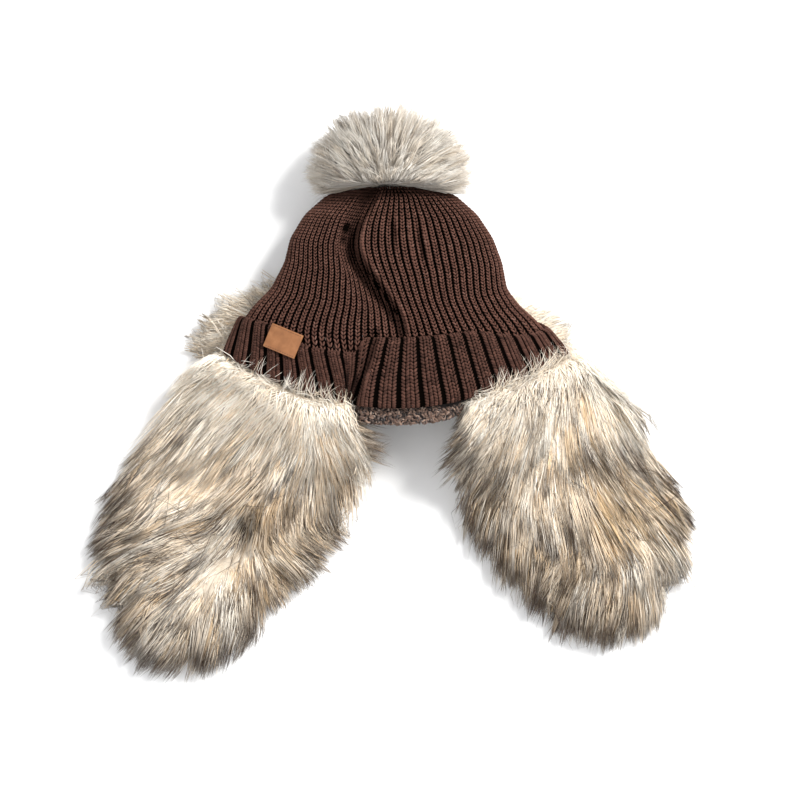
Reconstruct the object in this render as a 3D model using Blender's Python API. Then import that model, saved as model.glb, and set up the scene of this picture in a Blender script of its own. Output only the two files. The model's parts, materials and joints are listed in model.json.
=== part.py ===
"""A rib-knit cap with fur ear flaps and a fur pompom, lying on its back with its front up.

Metres, +Z up. The mouth faces -Y, the crown's tip +Y, and the origin is on the resting surface.
"""
from collections import namedtuple
import math

import bmesh
import bpy
import numpy as np

# The cap's own sizes
RIM_HALF_WIDTH = 0.151
RIM_SAG = 0.049
RIM_SIDE_Y = -0.046
CAP_LENGTH = 0.150
CAP_DEPTH = 0.066
CROWN_WALL = 0.0035
CROWN_RIB_DEPTH = 0.0014
GROOVE_SHARE = 0.35
WALES = 88

# The turned-up cuff and the lining inside the rim
CUFF_SHARE = 0.193
CUFF_WALL = 0.005
CUFF_RIB_DEPTH = 0.0022
CUFF_STITCH_DEPTH = 0.0005
CUFF_FOLD = 0.0025
LINING_WALL = 0.004
LINING_DROP = 0.017
LINING_MOUND = 0.45
LINING_EDGE = 0.0015
LINING_CURL = 0.003
LINING_FROM_X = -0.042
LINING_TO_X = 0.062

# The label on the cuff's top edge: its middle is given in shares of RIM_HALF_WIDTH and CAP_LENGTH
LABEL_WIDTH = 0.030
LABEL_HEIGHT = 0.022
LABEL_THICKNESS = 0.0016
LABEL_ACROSS = -0.656
LABEL_ALONG = 0.053
LABEL_TURN = -22.7

# The fur of the flaps and the band behind the neck
PANEL_THICKNESS = 0.003
FLAP_PILE = 0.040
FLAP_EDGE_PILE = 0.007
FLAP_RIM_PILE = 0.032
FLAP_RISE = 0.085
FLAP_BOW = 0.020
FLAP_FLARE = 0.13
LOCK_LEAN = 0.006
LOCK_RELIEF = 0.006
LOCK_TIP = 0.009
LOCK_LEAST = 0.5
TUCK_ASPECT = 0.66
NAPE_HEIGHT = 0.013
NAPE_EDGE_HEIGHT = 0.003
NAPE_HALF_WIDTH = 0.176
NAPE_CENTRE_X = -0.009
NAPE_FRONT_Y = -0.060
NAPE_REACH = 0.080
NAPE_TAPER = 0.92
NAPE_SWEEP = 0.15

# The pompom at the tip
POMPOM_X = -0.007
POMPOM_WIDTH = 0.152
POMPOM_REACH = 0.064
POMPOM_HEIGHT = 0.092
POMPOM_SET_BACK = 0.009
POMPOM_SINK = 0.004
POMPOM_LOCK = 0.16
SHOULDERS_FROM = 0.5

# Clearances
LAYER_GAP = 0.0005
REST_GAP = 0.0004
FUR_GAP = 0.0005
SHOULDER_GAP = 0.004

# How square the cross-section is at the front and where it rests
FRONT_CORNER = 0.85
BACK_CORNER = 0.60
BACK_SAG = 0.45
SECTION_SAMPLES = 1441
SEARCH_STEPS = 40

RIM_FLOOR = NAPE_HEIGHT + REST_GAP + CUFF_WALL + LAYER_GAP
LINING_OUT = -CROWN_WALL - LAYER_GAP
LINING_IN = LINING_OUT - LINING_WALL
CUFF_IN = LAYER_GAP
CUFF_OUT = CUFF_IN + CUFF_WALL

# Rows from the rim to the tip. along is a share of CAP_LENGTH, half_width and lean of RIM_HALF_WIDTH,
# sag of RIM_SAG, floor of RIM_FLOOR, and top is how much of CAP_DEPTH the front stands over RIM_FLOOR.
Station = namedtuple("Station", "along half_width lean sag floor top")
STATIONS = (
    Station(0.000, 1.000, 0.000, 1.00, 1.00, 1.00),
    Station(0.193, 0.865, -0.040, 0.41, 0.99, 1.02),
    Station(0.273, 0.790, -0.055, 0.36, 0.97, 1.03),
    Station(0.373, 0.705, -0.042, 0.33, 0.90, 1.02),
    Station(0.533, 0.649, -0.010, 0.28, 0.62, 0.98),
    Station(0.680, 0.603, -0.010, 0.22, 0.30, 0.90),
    Station(0.827, 0.517, -0.015, 0.15, 0.04, 0.76),
    Station(0.953, 0.384, -0.015, 0.06, 0.22, 0.52),
    Station(1.000, 0.225, -0.015, 0.00, 0.80, 0.32),
)
TIP_RISE = 0.0005

# Where the cuff's top edge dips at the front: from, to and the two slopes are shares of RIM_HALF_WIDTH,
# and depth is a share of CUFF_SHARE.
Dip = namedtuple("Dip", "start rise end fall depth")
CUFF_DIPS = (
    Dip(-0.85, 0.35, -0.14, 0.10, 0.28),
    Dip(0.50, 0.45, 1.50, 0.10, 0.36),
)
DIP_FADE = 0.6

# Valleys in the front. Places across are shares of RIM_HALF_WIDTH, places along are shares of
# CAP_LENGTH from the rim's sides, depth is a share of CAP_DEPTH and spread one of RIM_HALF_WIDTH.
Dent = namedtuple("Dent", "top_across top_along end_across end_along depth spread")
DENTS = (
    Dent(-0.14, 0.92, -0.23, 0.75, 0.14, 0.055),
    Dent(-0.23, 0.75, -0.23, 0.53, 0.22, 0.065),
    Dent(-0.23, 0.53, -0.07, 0.33, 0.22, 0.065),
    Dent(-0.07, 0.33, 0.03, 0.14, 0.17, 0.060),
    Dent(-0.13, 0.05, -0.21, -0.29, 0.06, 0.055),
    Dent(-0.03, 0.82, -0.02, 0.62, 0.06, 0.045),
    Dent(0.13, 0.84, 0.13, 0.60, 0.07, 0.050),
)

# A flap spreads from root, a share of RIM_HALF_WIDTH, turned outwards by turn degrees. rim_inner and
# rim_outer, shares of RIM_HALF_WIDTH, are the ends of its seam at the rim.
Flap = namedtuple("Flap", "name side turn length outer inner root rim_inner rim_outer rows dents")

# along is a share of the flap's length, outer and inner are shares of its reach to each side.
FlapRow = namedtuple("FlapRow", "along outer inner")
LEFT_ROWS = (
    FlapRow(0.05, 0.86, 1.02),
    FlapRow(0.15, 0.94, 0.96),
    FlapRow(0.27, 1.00, 0.99),
    FlapRow(0.43, 1.04, 1.02),
    FlapRow(0.55, 1.05, 0.97),
    FlapRow(0.67, 0.99, 0.81),
    FlapRow(0.80, 0.87, 0.71),
    FlapRow(0.93, 0.66, 0.60),
    FlapRow(1.00, 0.38, 0.40),
)
RIGHT_ROWS = (
    FlapRow(0.05, 0.78, 0.60),
    FlapRow(0.13, 0.90, 0.70),
    FlapRow(0.26, 1.00, 0.90),
    FlapRow(0.42, 0.99, 1.01),
    FlapRow(0.62, 1.02, 0.88),
    FlapRow(0.74, 0.98, 0.75),
    FlapRow(0.86, 0.80, 0.66),
    FlapRow(0.95, 0.62, 0.60),
    FlapRow(1.00, 0.45, 0.48),
)

# Tucks in a flap's fur: along its length and across it as shares, depth a share of FLAP_PILE.
Tuck = namedtuple("Tuck", "along across depth spread")
LEFT_TUCKS = (Tuck(0.56, 0.30, 0.45, 0.13), Tuck(0.30, 0.72, 0.18, 0.12))
RIGHT_TUCKS = (Tuck(0.62, 0.55, 0.20, 0.14),)

FLAPS = (
    Flap("left", -1, 30.0, 0.284, 0.098, 0.086, 0.556, 0.29, 1.05, LEFT_ROWS, LEFT_TUCKS),
    Flap("right", 1, 28.0, 0.252, 0.088, 0.086, 0.662, 0.44, 1.05, RIGHT_ROWS, RIGHT_TUCKS),
)
FLAP_CELLS_ALONG = 14
FLAP_CELLS_ACROSS = 10
PANEL_CELLS_IN = 2
NAPE_CELLS_ALONG = 18
NAPE_CELLS_ACROSS = 4
LABEL_CELLS_ACROSS = 5
LABEL_CELLS_UP = 3
FLAP_EDGE_SEED = 11
FLAP_LOCK_SEED = 23
NAPE_SEED = 5
POMPOM_SEED = 31

KNIT_BROWN = (0.050, 0.030, 0.024, 1.0)
BOUCLE_BROWN = (0.145, 0.090, 0.062, 1.0)
LEATHER_TAN = (0.54, 0.26, 0.11, 1.0)
FUR_CREAM = (0.64, 0.56, 0.46, 1.0)
POMPOM_CREAM = (0.66, 0.62, 0.56, 1.0)


def smooth(share):
    """Ease from 0 to 1 as the share goes from 0 to 1."""
    share = np.clip(share, 0.0, 1.0)
    return share * share * (3.0 - 2.0 * share)


def table_value(rows, column, along):
    """Read one column of a table between its rows."""
    return np.interp(along, [row.along for row in rows], [getattr(row, column) for row in rows])


def profile(along):
    """Give the crown's half width, sag, floor and top at a share of its length."""
    half_width = RIM_HALF_WIDTH * table_value(STATIONS, "half_width", along)
    sag = RIM_SAG * table_value(STATIONS, "sag", along)
    floor = RIM_FLOOR * table_value(STATIONS, "floor", along)
    top = RIM_FLOOR + CAP_DEPTH * table_value(STATIONS, "top", along)
    return half_width, sag, floor, top


def lean(along):
    """Give how far the crown's middle stands to the side at a share of its length."""
    return RIM_HALF_WIDTH * table_value(STATIONS, "lean", along)


def section_shape(angle):
    """Give a squared circle's shares across and up at each angle."""
    cosine = np.cos(angle)
    sine = np.sin(angle)
    across = np.sign(cosine) * np.abs(cosine) ** FRONT_CORNER
    corner = np.where(sine >= 0.0, FRONT_CORNER, BACK_CORNER)
    up = np.sign(sine) * np.abs(sine) ** corner
    return across, up


def even_angles(half_width, half_depth, count):
    """Give the angles that part a section's edge into even lengths."""
    fine = np.linspace(0.0, 2.0 * math.pi, SECTION_SAMPLES)
    across, up = section_shape(fine)
    steps = np.hypot(np.diff(half_width * across), np.diff(half_depth * up))
    reach = np.concatenate(([0.0], np.cumsum(steps)))
    return np.interp(np.arange(count) / count * reach[-1], reach, fine)


def dent_depth(x, y):
    """Give how far the front is pressed in over each point."""
    depth = np.zeros_like(x)
    for dent in DENTS:
        start = np.array((dent.top_across * RIM_HALF_WIDTH, RIM_SIDE_Y + dent.top_along * CAP_LENGTH))
        end = np.array((dent.end_across * RIM_HALF_WIDTH, RIM_SIDE_Y + dent.end_along * CAP_LENGTH))
        run = end - start
        share = ((x - start[0]) * run[0] + (y - start[1]) * run[1]) / run.dot(run)
        share = np.clip(share, 0.0, 1.0)
        away = np.hypot(x - start[0] - share * run[0], y - start[1] - share * run[1])
        pressed = dent.depth * CAP_DEPTH * np.exp(-((away / (dent.spread * RIM_HALF_WIDTH)) ** 2))
        depth = np.maximum(depth, pressed)
    return depth


def form_points(along, across, up, out):
    """Place points of the cap's form, out from the crown's face, from their shares."""
    half_width, sag, floor, top = profile(along)
    slack = np.where(up >= 0.0, sag, sag * BACK_SAG) * (1.0 - across * across)
    middle = lean(along)
    face_x = middle + half_width * across
    face_y = RIM_SIDE_Y + along * CAP_LENGTH - slack
    x = middle + (half_width + out) * across
    y = RIM_SIDE_Y + along * (CAP_LENGTH + out) - slack
    z = (top + floor) / 2.0 + ((top - floor) / 2.0 + out) * up
    z = z - dent_depth(face_x, face_y) * np.maximum(up, 0.0)
    return np.stack((x, y, z), axis=-1)


def ring(along, out, count):
    """Make one ring of the cap's form, its points evenly spread round it."""
    half_width, _, floor, top = profile(along)
    across, up = section_shape(even_angles(half_width, (top - floor) / 2.0, count))
    return form_points(along, across, up, out)


def dipped_ring(along, out, count):
    """Make a ring of the cuff's top edge, lower where the edge dips at the front."""
    half_width, _, floor, top = profile(along)
    across, up = section_shape(even_angles(half_width, (top - floor) / 2.0, count))
    dip = np.zeros(count)
    for row in CUFF_DIPS:
        dip += row.depth * smooth((across - row.start) / row.rise) * smooth((row.end - across) / row.fall)
    dip *= smooth((up + DIP_FADE) / DIP_FADE)
    return form_points(along - CUFF_SHARE * dip, across, up, out)


def rim_line(x):
    """Give the y of the cuff's folded edge at the front over x."""
    across = np.clip(np.abs(x) / (RIM_HALF_WIDTH + CUFF_OUT), 0.0, 1.0)
    return RIM_SIDE_Y - RIM_SAG * (1.0 - across * across) - CUFF_FOLD * (1.0 + CUFF_OUT / CAP_LENGTH)


def fold_height(x):
    """Give the height of the cuff's folded edge at the front over x."""
    _, _, floor, top = profile(0.0)
    out = CUFF_IN + CUFF_WALL / 2.0
    across = np.clip(np.abs(x) / (RIM_HALF_WIDTH + out), 0.0, 1.0)
    up = (1.0 - across ** (2.0 / FRONT_CORNER)) ** (FRONT_CORNER / 2.0)
    return (top + floor) / 2.0 + ((top - floor) / 2.0 + out) * up


def front_height(x, y, out):
    """Give the height of the front over a point, out from the crown's face."""
    low, high = 0.0, STATIONS[4].along
    for _ in range(SEARCH_STEPS):
        along = (low + high) / 2.0
        half_width, sag, _, _ = profile(along)
        across = min(abs(x - lean(along)) / (half_width + out), 1.0)
        line = RIM_SIDE_Y + along * (CAP_LENGTH + out) - sag * (1.0 - across * across)
        if line < y:
            low = along
        else:
            high = along
    up = (1.0 - across ** (2.0 / FRONT_CORNER)) ** (FRONT_CORNER / 2.0)
    signed = math.copysign(across, x - lean(along))
    return float(form_points(along, np.array(signed), np.array(up), out)[2])


class Body:
    """Gathers points and triangles, and makes one closed object of them."""

    def __init__(self, name):
        self.name = name
        self.points = []
        self.faces = []

    def add_points(self, points):
        """Add points and return their numbers."""
        first = len(self.points)
        self.points.extend(tuple(float(value) for value in point) for point in points)
        return list(range(first, len(self.points)))

    def join(self, first, second):
        """Fill between two closed rings, the first with as many points as the second or twice as many."""
        count = len(second)
        for step in range(count):
            ahead = (step + 1) % count
            if len(first) == count:
                start, end = first[step], first[ahead]
            else:
                start, end = first[2 * step + 1], first[2 * ahead]
                self.faces.append((first[2 * step], start, second[step]))
            self.faces.append((start, end, second[ahead]))
            self.faces.append((start, second[ahead], second[step]))

    def fan(self, loop, point):
        """Close a ring with triangles to one point."""
        middle = self.add_points([point])[0]
        for step, number in enumerate(loop):
            self.faces.append((number, loop[(step + 1) % len(loop)], middle))

    def strip(self, first, second):
        """Fill between two open rows of as many points."""
        for step in range(len(first) - 1):
            self.faces.append((first[step], first[step + 1], second[step + 1]))
            self.faces.append((first[step], second[step + 1], second[step]))

    def finish(self, colour, roughness):
        """Make the object, its faces outwards, smooth except at sharp edges."""
        mesh = bpy.data.meshes.new(self.name)
        mesh.from_pydata(self.points, [], self.faces)
        work = bmesh.new()
        work.from_mesh(mesh)
        bmesh.ops.recalc_face_normals(work, faces=work.faces)
        work.to_mesh(mesh)
        work.free()
        mesh.shade_smooth()
        mesh.set_sharp_from_angle(angle=math.radians(40.0))
        material = bpy.data.materials.new(self.name)
        material.use_nodes = True
        shader = material.node_tree.nodes["Principled BSDF"]
        shader.inputs["Base Color"].default_value = colour
        shader.inputs["Roughness"].default_value = roughness
        mesh.materials.append(material)
        thing = bpy.data.objects.new(self.name, mesh)
        bpy.context.scene.collection.objects.link(thing)
        return thing


def clear_scene():
    """Remove what the scene holds."""
    for thing in list(bpy.data.objects):
        bpy.data.objects.remove(thing)


def crown_grooves(along, count):
    """Give each point's depth in the ribs: none on a wale, and the groove between two wales."""
    half_width, _, floor, top = profile(along)
    pitch = (2.0 * half_width + top - floor) * 2.0 / WALES
    depth = min(CROWN_RIB_DEPTH, GROOVE_SHARE * pitch)
    return np.where(np.arange(count) % 2 == 0, 0.0, -depth)


def crown_rows():
    """Give the shares of the cap's length at which the crown, cuff and lining have a ring."""
    rows = [row.along for row in STATIONS]
    return rows[:1] + [CUFF_SHARE / 2.0, CUFF_SHARE] + rows[2:]


def make_crown():
    """The knit bag: ribbed outside, smooth inside, open at the rim, with one tip."""
    body = Body("crown")
    outer = []
    inner = []
    for along in crown_rows():
        outer.append(body.add_points(ring(along, crown_grooves(along, 2 * WALES), 2 * WALES)))
        inner.append(body.add_points(ring(along, -CROWN_WALL, WALES)))
    for rings in (outer, inner):
        for lower, upper in zip(rings, rings[1:]):
            body.join(lower, upper)
    body.join(outer[0], inner[0])
    tip = form_points(1.0, np.array(0.0), np.array(0.0), 0.0)
    body.fan(outer[-1], tip + np.array((0.0, TIP_RISE, 0.0)))
    body.fan(inner[-1], tip - np.array((0.0, CROWN_WALL - TIP_RISE, 0.0)))
    return body.finish(KNIT_BROWN, 0.9)


def cuff_relief(count):
    """Give each point's depth in the cuff: a groove by each rib, and a line between its two wales."""
    pattern = np.array((-CUFF_RIB_DEPTH, 0.0, -CUFF_STITCH_DEPTH, 0.0))
    return pattern[np.arange(count) % 4]


def make_cuff():
    """The turned-up band: broad ribs outside, and a rounded edge at its fold and its top."""
    body = Body("cuff")
    count = 2 * WALES
    face = CUFF_OUT + cuff_relief(count)
    middle = CUFF_IN + CUFF_WALL / 2.0
    fold = CUFF_FOLD / CAP_LENGTH
    outer = [body.add_points(ring(along, out, count))
             for along, out in ((-fold, middle), (0.0, face), (CUFF_SHARE / 2.0, face))]
    outer += [body.add_points(dipped_ring(along, out, count))
              for along, out in ((CUFF_SHARE, face), (CUFF_SHARE + fold / 2.0, middle))]
    inner = [body.add_points(ring(along, CUFF_IN, WALES)) for along in crown_rows()[:2]]
    inner.append(body.add_points(dipped_ring(CUFF_SHARE, CUFF_IN, WALES)))
    for lower, upper in zip(outer, outer[1:]):
        body.join(lower, upper)
    for lower, upper in zip(inner, inner[1:]):
        body.join(lower, upper)
    body.join(outer[0], inner[0])
    body.join(outer[-1], inner[-1])
    return body.finish(KNIT_BROWN, 0.9)


def lining_drop(points):
    """Lower a ring of the rim to the lining's edge, deeper at the middle of the front."""
    x, y, z = points.T
    mound = LINING_DROP * LINING_MOUND
    share = smooth((x - LINING_FROM_X) / mound) * smooth((LINING_TO_X - x) / mound)
    _, _, floor, top = profile(0.0)
    share = np.where(z > (top + floor) / 2.0, share, 0.0)
    drop = LINING_EDGE + (LINING_DROP - LINING_EDGE) * share
    return np.stack((x, y - drop, z - LINING_CURL * share), axis=-1)


def make_lining():
    """The boucle band inside the rim, from its edge below the cuff to the cuff's top."""
    body = Body("lining")
    rings = []
    for out in (LINING_OUT, LINING_IN):
        edge = lining_drop(ring(0.0, out, WALES))
        rings.append([body.add_points(edge)])
        rings[-1].extend(body.add_points(ring(along, out, WALES)) for along in crown_rows()[:3])
    for wall in rings:
        for lower, upper in zip(wall, wall[1:]):
            body.join(lower, upper)
    body.join(rings[0][0], rings[1][0])
    body.join(rings[0][-1], rings[1][-1])
    return body.finish(BOUCLE_BROWN, 1.0)


def make_label():
    """The small tab that lies over the cuff's top edge."""
    body = Body("label")
    turn = math.radians(LABEL_TURN)
    middle_x = LABEL_ACROSS * RIM_HALF_WIDTH
    middle_y = RIM_SIDE_Y + LABEL_ALONG * CAP_LENGTH
    faces = []
    for lift in (0.0, LABEL_THICKNESS):
        rows = []
        for up in range(LABEL_CELLS_UP + 1):
            points = []
            for step in range(LABEL_CELLS_ACROSS + 1):
                u = (step / LABEL_CELLS_ACROSS - 0.5) * LABEL_WIDTH
                v = (up / LABEL_CELLS_UP - 0.5) * LABEL_HEIGHT
                x = middle_x + u * math.cos(turn) - v * math.sin(turn)
                y = middle_y + u * math.sin(turn) + v * math.cos(turn)
                points.append((x, y, front_height(x, y, CUFF_OUT + LAYER_GAP) + lift))
            rows.append(body.add_points(points))
        faces.append(rows)
    close_slab(body, faces[0], faces[1])
    return body.finish(LEATHER_TAN, 0.55)


def grid_edge(rows):
    """Give the points round a grid, as one closed ring."""
    right = [row[-1] for row in rows[1:-1]]
    left = [row[0] for row in rows[1:-1]]
    return rows[0] + right + rows[-1][::-1] + left[::-1]


def close_slab(body, lower, upper):
    """Fill a slab between two grids of as many points."""
    for rows in (lower, upper):
        for first, second in zip(rows, rows[1:]):
            body.strip(first, second)
    body.join(grid_edge(lower), grid_edge(upper))


def flap_axes(flap):
    """Give the flap's root, and its directions outwards from the rim and to its outer side."""
    turn = math.radians(flap.turn)
    root_x = flap.side * flap.root * RIM_HALF_WIDTH
    root = np.array((root_x, float(rim_line(np.array(root_x)))))
    down = np.array((flap.side * math.sin(turn), -math.cos(turn)))
    outwards = np.array((flap.side * math.cos(turn), math.sin(turn)))
    return root, down, outwards


def flap_place(flap, along, across):
    """Give a flap point's place on the floor plan, and its seam's x at the rim."""
    root, down, outwards = flap_axes(flap)
    rim_x = flap.side * RIM_HALF_WIDTH * (flap.rim_inner + (flap.rim_outer - flap.rim_inner) * across)
    seam = np.array((rim_x, float(rim_line(np.array(rim_x))) - FUR_GAP))
    inner = flap.inner * float(table_value(flap.rows, "inner", along))
    outer = flap.outer * float(table_value(flap.rows, "outer", along))
    sideways = -inner + (inner + outer) * across
    bow = FLAP_BOW * along * (2.0 * across - 1.0) ** 2
    spread = root + down * (along * flap.length - bow) + outwards * sideways
    blend = float(smooth(along / FLAP_FLARE))
    place = (seam + down * along * flap.length) * (1.0 - blend) + spread * blend
    return place, rim_x


def flap_heights(flap, along, across, rim_x):
    """Give the height of a flap's fur at its underside and at its top."""
    resting = PANEL_THICKNESS + FUR_GAP
    risen = 1.0 - float(smooth(along * flap.length / FLAP_RISE))
    seam_top = float(fold_height(np.array(rim_x)))
    lower = resting + risen * max(seam_top - FLAP_RIM_PILE - resting, 0.0)
    crowned = (1.0 - abs(2.0 * across - 1.0) ** 3) * (1.0 - along ** 5)
    pile = FLAP_EDGE_PILE + (FLAP_PILE - FLAP_EDGE_PILE) * crowned
    for tuck in flap.dents:
        away = math.hypot(along - tuck.along, (across - tuck.across) * TUCK_ASPECT)
        pile -= tuck.depth * FLAP_PILE * math.exp(-((away / tuck.spread) ** 2)) * crowned
    return lower, lower + pile + risen * (FLAP_RIM_PILE - pile)


def flap_grids(flap):
    """Give the underside and the top of a flap's fur as two grids, its edge drawn out in locks."""
    draw = np.random.default_rng(FLAP_EDGE_SEED + flap.side)
    _, down, outwards = flap_axes(flap)
    lower = np.zeros((FLAP_CELLS_ALONG + 1, FLAP_CELLS_ACROSS + 1, 3))
    upper = np.zeros_like(lower)
    for row in range(FLAP_CELLS_ALONG + 1):
        for column in range(FLAP_CELLS_ACROSS + 1):
            along = row / FLAP_CELLS_ALONG
            across = column / FLAP_CELLS_ACROSS
            place, rim_x = flap_place(flap, along, across)
            reach = LOCK_TIP * draw.uniform(LOCK_LEAST, 1.0)
            edge = column in (0, FLAP_CELLS_ACROSS)
            if edge and row % 2 == 1:
                place = place + outwards * math.copysign(reach, across - 0.5) + down * reach
            if row == FLAP_CELLS_ALONG and column % 2 == 1:
                place = place + down * reach
            floor, top = flap_heights(flap, along, across, rim_x)
            lower[row, column] = (*place, floor)
            upper[row, column] = (*place, top)
    return lower, upper


def add_locks(body, rows, points, direction, seed):
    """Fill a grid with locks: each cell rises to a tip that leans along the hair."""
    draw = np.random.default_rng(seed)
    for row in range(len(rows) - 1):
        for column in range(len(rows[0]) - 1):
            corners = (rows[row][column], rows[row][column + 1],
                       rows[row + 1][column + 1], rows[row + 1][column])
            middle = np.mean([points[row, column], points[row, column + 1],
                              points[row + 1, column + 1], points[row + 1, column]], axis=0)
            lift = LOCK_RELIEF * draw.uniform(LOCK_LEAST, 1.0)
            tip = middle + np.array((*(direction * LOCK_LEAN * draw.uniform(LOCK_LEAST, 1.0)), lift))
            number = body.add_points([tip])[0]
            for step in range(4):
                body.faces.append((corners[step], corners[(step + 1) % 4], number))


def make_flap_fur(flap):
    """The deep fur of one flap, its locks pointing away from the rim."""
    body = Body(flap.name + "_flap_fur")
    lower, upper = flap_grids(flap)
    lower_rows = [body.add_points(row) for row in lower]
    upper_rows = [body.add_points(row) for row in upper]
    for first, second in zip(lower_rows, lower_rows[1:]):
        body.strip(first, second)
    _, down, _ = flap_axes(flap)
    add_locks(body, upper_rows, upper, down, FLAP_LOCK_SEED + flap.side)
    body.join(grid_edge(lower_rows), grid_edge(upper_rows))
    return body.finish(FUR_CREAM, 1.0)


def make_flap_lining(flap):
    """The boucle panel under one flap, which follows the underside of its fur."""
    body = Body(flap.name + "_flap_lining")
    lower, _ = flap_grids(flap)
    inset = int(PANEL_CELLS_IN)
    grid = lower[:-inset, inset:-inset] - np.array((0.0, 0.0, FUR_GAP))
    under = [body.add_points(row - np.array((0.0, 0.0, PANEL_THICKNESS))) for row in grid]
    over = [body.add_points(row) for row in grid]
    close_slab(body, under, over)
    return body.finish(BOUCLE_BROWN, 1.0)


def make_nape_fur():
    """The fur band under the back of the rim, flat where it rests."""
    body = Body("nape_fur")
    draw = np.random.default_rng(NAPE_SEED)
    lower = []
    upper = []
    for row in range(NAPE_CELLS_ACROSS + 1):
        low_points = []
        high_points = []
        across = row / NAPE_CELLS_ACROSS
        for column in range(NAPE_CELLS_ALONG + 1):
            sideways = 2.0 * column / NAPE_CELLS_ALONG - 1.0
            depth = NAPE_REACH * (1.0 - NAPE_TAPER * abs(sideways) ** 3)
            x = NAPE_CENTRE_X + NAPE_HALF_WIDTH * sideways
            y = NAPE_FRONT_Y + NAPE_SWEEP * (NAPE_REACH - depth) + depth * across
            if row == NAPE_CELLS_ACROSS and column % 2 == 1:
                y += LOCK_TIP * draw.uniform(LOCK_LEAST, 1.0)
            crowned = (1.0 - (2.0 * across - 1.0) ** 4) * (1.0 - sideways ** 6)
            height = NAPE_EDGE_HEIGHT + (NAPE_HEIGHT - NAPE_EDGE_HEIGHT) * crowned
            low_points.append((x, y, 0.0))
            high_points.append((x, y, height))
        lower.append(body.add_points(low_points))
        upper.append(body.add_points(high_points))
    close_slab(body, lower, upper)
    return body.finish(FUR_CREAM, 1.0)


def pompom_point(direction, reach):
    """Place a point of the pompom, flattened by the crown's tip and where it rests."""
    tip_y = RIM_SIDE_Y + CAP_LENGTH
    x = direction.x * reach * POMPOM_WIDTH / 2.0
    y = tip_y + POMPOM_SET_BACK + direction.y * reach * POMPOM_REACH
    z = POMPOM_HEIGHT / 2.0 * (1.0 + direction.z * reach) - POMPOM_SINK
    shoulders = [row for row in reversed(STATIONS) if row.along > SHOULDERS_FROM]
    widths = [row.half_width * RIM_HALF_WIDTH for row in shoulders]
    along = np.interp(abs(x) - SHOULDER_GAP, widths, [row.along for row in shoulders])
    crown_y = RIM_SIDE_Y + float(along) * CAP_LENGTH
    return (x + POMPOM_X, max(y, crown_y + TIP_RISE + REST_GAP), max(z, 0.0))


def make_pompom():
    """The fur ball: locks that stand out from its middle, pressed flat by the crown's tip."""
    body = Body("pompom")
    draw = np.random.default_rng(POMPOM_SEED)
    work = bmesh.new()
    bmesh.ops.create_icosphere(work, subdivisions=3, radius=1.0)
    bmesh.ops.poke(work, faces=work.faces)
    work.verts.ensure_lookup_table()
    points = []
    for vertex in work.verts:
        tip = len(vertex.link_faces) == 3
        reach = 1.0 - POMPOM_LOCK * (draw.uniform(0.0, LOCK_LEAST) if tip else 1.0)
        points.append(pompom_point(vertex.co.normalized(), reach))
    body.add_points(points)
    body.faces.extend(tuple(vertex.index for vertex in face.verts) for face in work.faces)
    work.free()
    return body.finish(POMPOM_CREAM, 1.0)


clear_scene()
make_crown()
make_cuff()
make_lining()
make_label()
for flap in FLAPS:
    make_flap_fur(flap)
    make_flap_lining(flap)
make_nape_fur()
make_pompom()
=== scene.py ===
# %% [markdown]
# # A rib-knit cap with fur ear flaps, laid on its back
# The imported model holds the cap's solids at their real size. This lesson dresses them: knitted stitches,
# long faux fur, curly boucle and a small leather tab. The frame is loaded first and is never changed.

# %% Load the fixed frame
import json
import math
from collections import namedtuple

import bpy
import numpy as np
from mathutils import Matrix, Vector
from mathutils.bvhtree import BVHTree

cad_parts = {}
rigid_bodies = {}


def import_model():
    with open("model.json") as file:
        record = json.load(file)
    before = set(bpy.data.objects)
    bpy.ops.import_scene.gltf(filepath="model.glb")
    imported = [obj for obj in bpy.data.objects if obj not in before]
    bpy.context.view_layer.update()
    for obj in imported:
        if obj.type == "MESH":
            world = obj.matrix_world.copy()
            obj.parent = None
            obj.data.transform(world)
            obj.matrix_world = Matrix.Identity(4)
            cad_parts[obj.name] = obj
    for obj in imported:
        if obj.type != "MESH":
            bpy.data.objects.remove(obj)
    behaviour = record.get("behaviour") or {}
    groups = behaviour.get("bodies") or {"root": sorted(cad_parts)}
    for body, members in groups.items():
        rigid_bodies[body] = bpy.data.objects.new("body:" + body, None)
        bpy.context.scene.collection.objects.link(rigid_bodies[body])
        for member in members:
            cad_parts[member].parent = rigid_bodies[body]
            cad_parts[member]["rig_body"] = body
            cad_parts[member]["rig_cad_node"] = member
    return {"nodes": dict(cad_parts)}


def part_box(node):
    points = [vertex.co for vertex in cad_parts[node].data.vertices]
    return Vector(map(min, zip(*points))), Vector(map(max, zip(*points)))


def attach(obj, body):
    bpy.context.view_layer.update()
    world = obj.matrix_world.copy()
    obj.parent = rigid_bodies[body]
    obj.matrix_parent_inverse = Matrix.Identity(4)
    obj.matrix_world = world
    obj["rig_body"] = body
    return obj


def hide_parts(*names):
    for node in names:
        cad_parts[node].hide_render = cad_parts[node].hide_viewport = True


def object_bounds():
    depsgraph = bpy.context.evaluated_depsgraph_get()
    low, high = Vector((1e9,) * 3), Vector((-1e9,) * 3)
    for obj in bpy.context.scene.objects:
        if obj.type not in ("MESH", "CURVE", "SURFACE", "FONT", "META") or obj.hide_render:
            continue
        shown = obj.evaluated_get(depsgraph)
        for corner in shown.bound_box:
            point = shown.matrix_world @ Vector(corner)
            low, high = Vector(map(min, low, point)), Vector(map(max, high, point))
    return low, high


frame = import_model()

cad_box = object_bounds()
MM = 0.001
print("frame nodes:", ", ".join(sorted(frame["nodes"])))

# %% [markdown]
# ## Camera
# The cap is a flat lay: it was put on a table and looked at from straight above. A long lens far up keeps
# the sides from leaning, as a product photographer would choose it.

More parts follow.
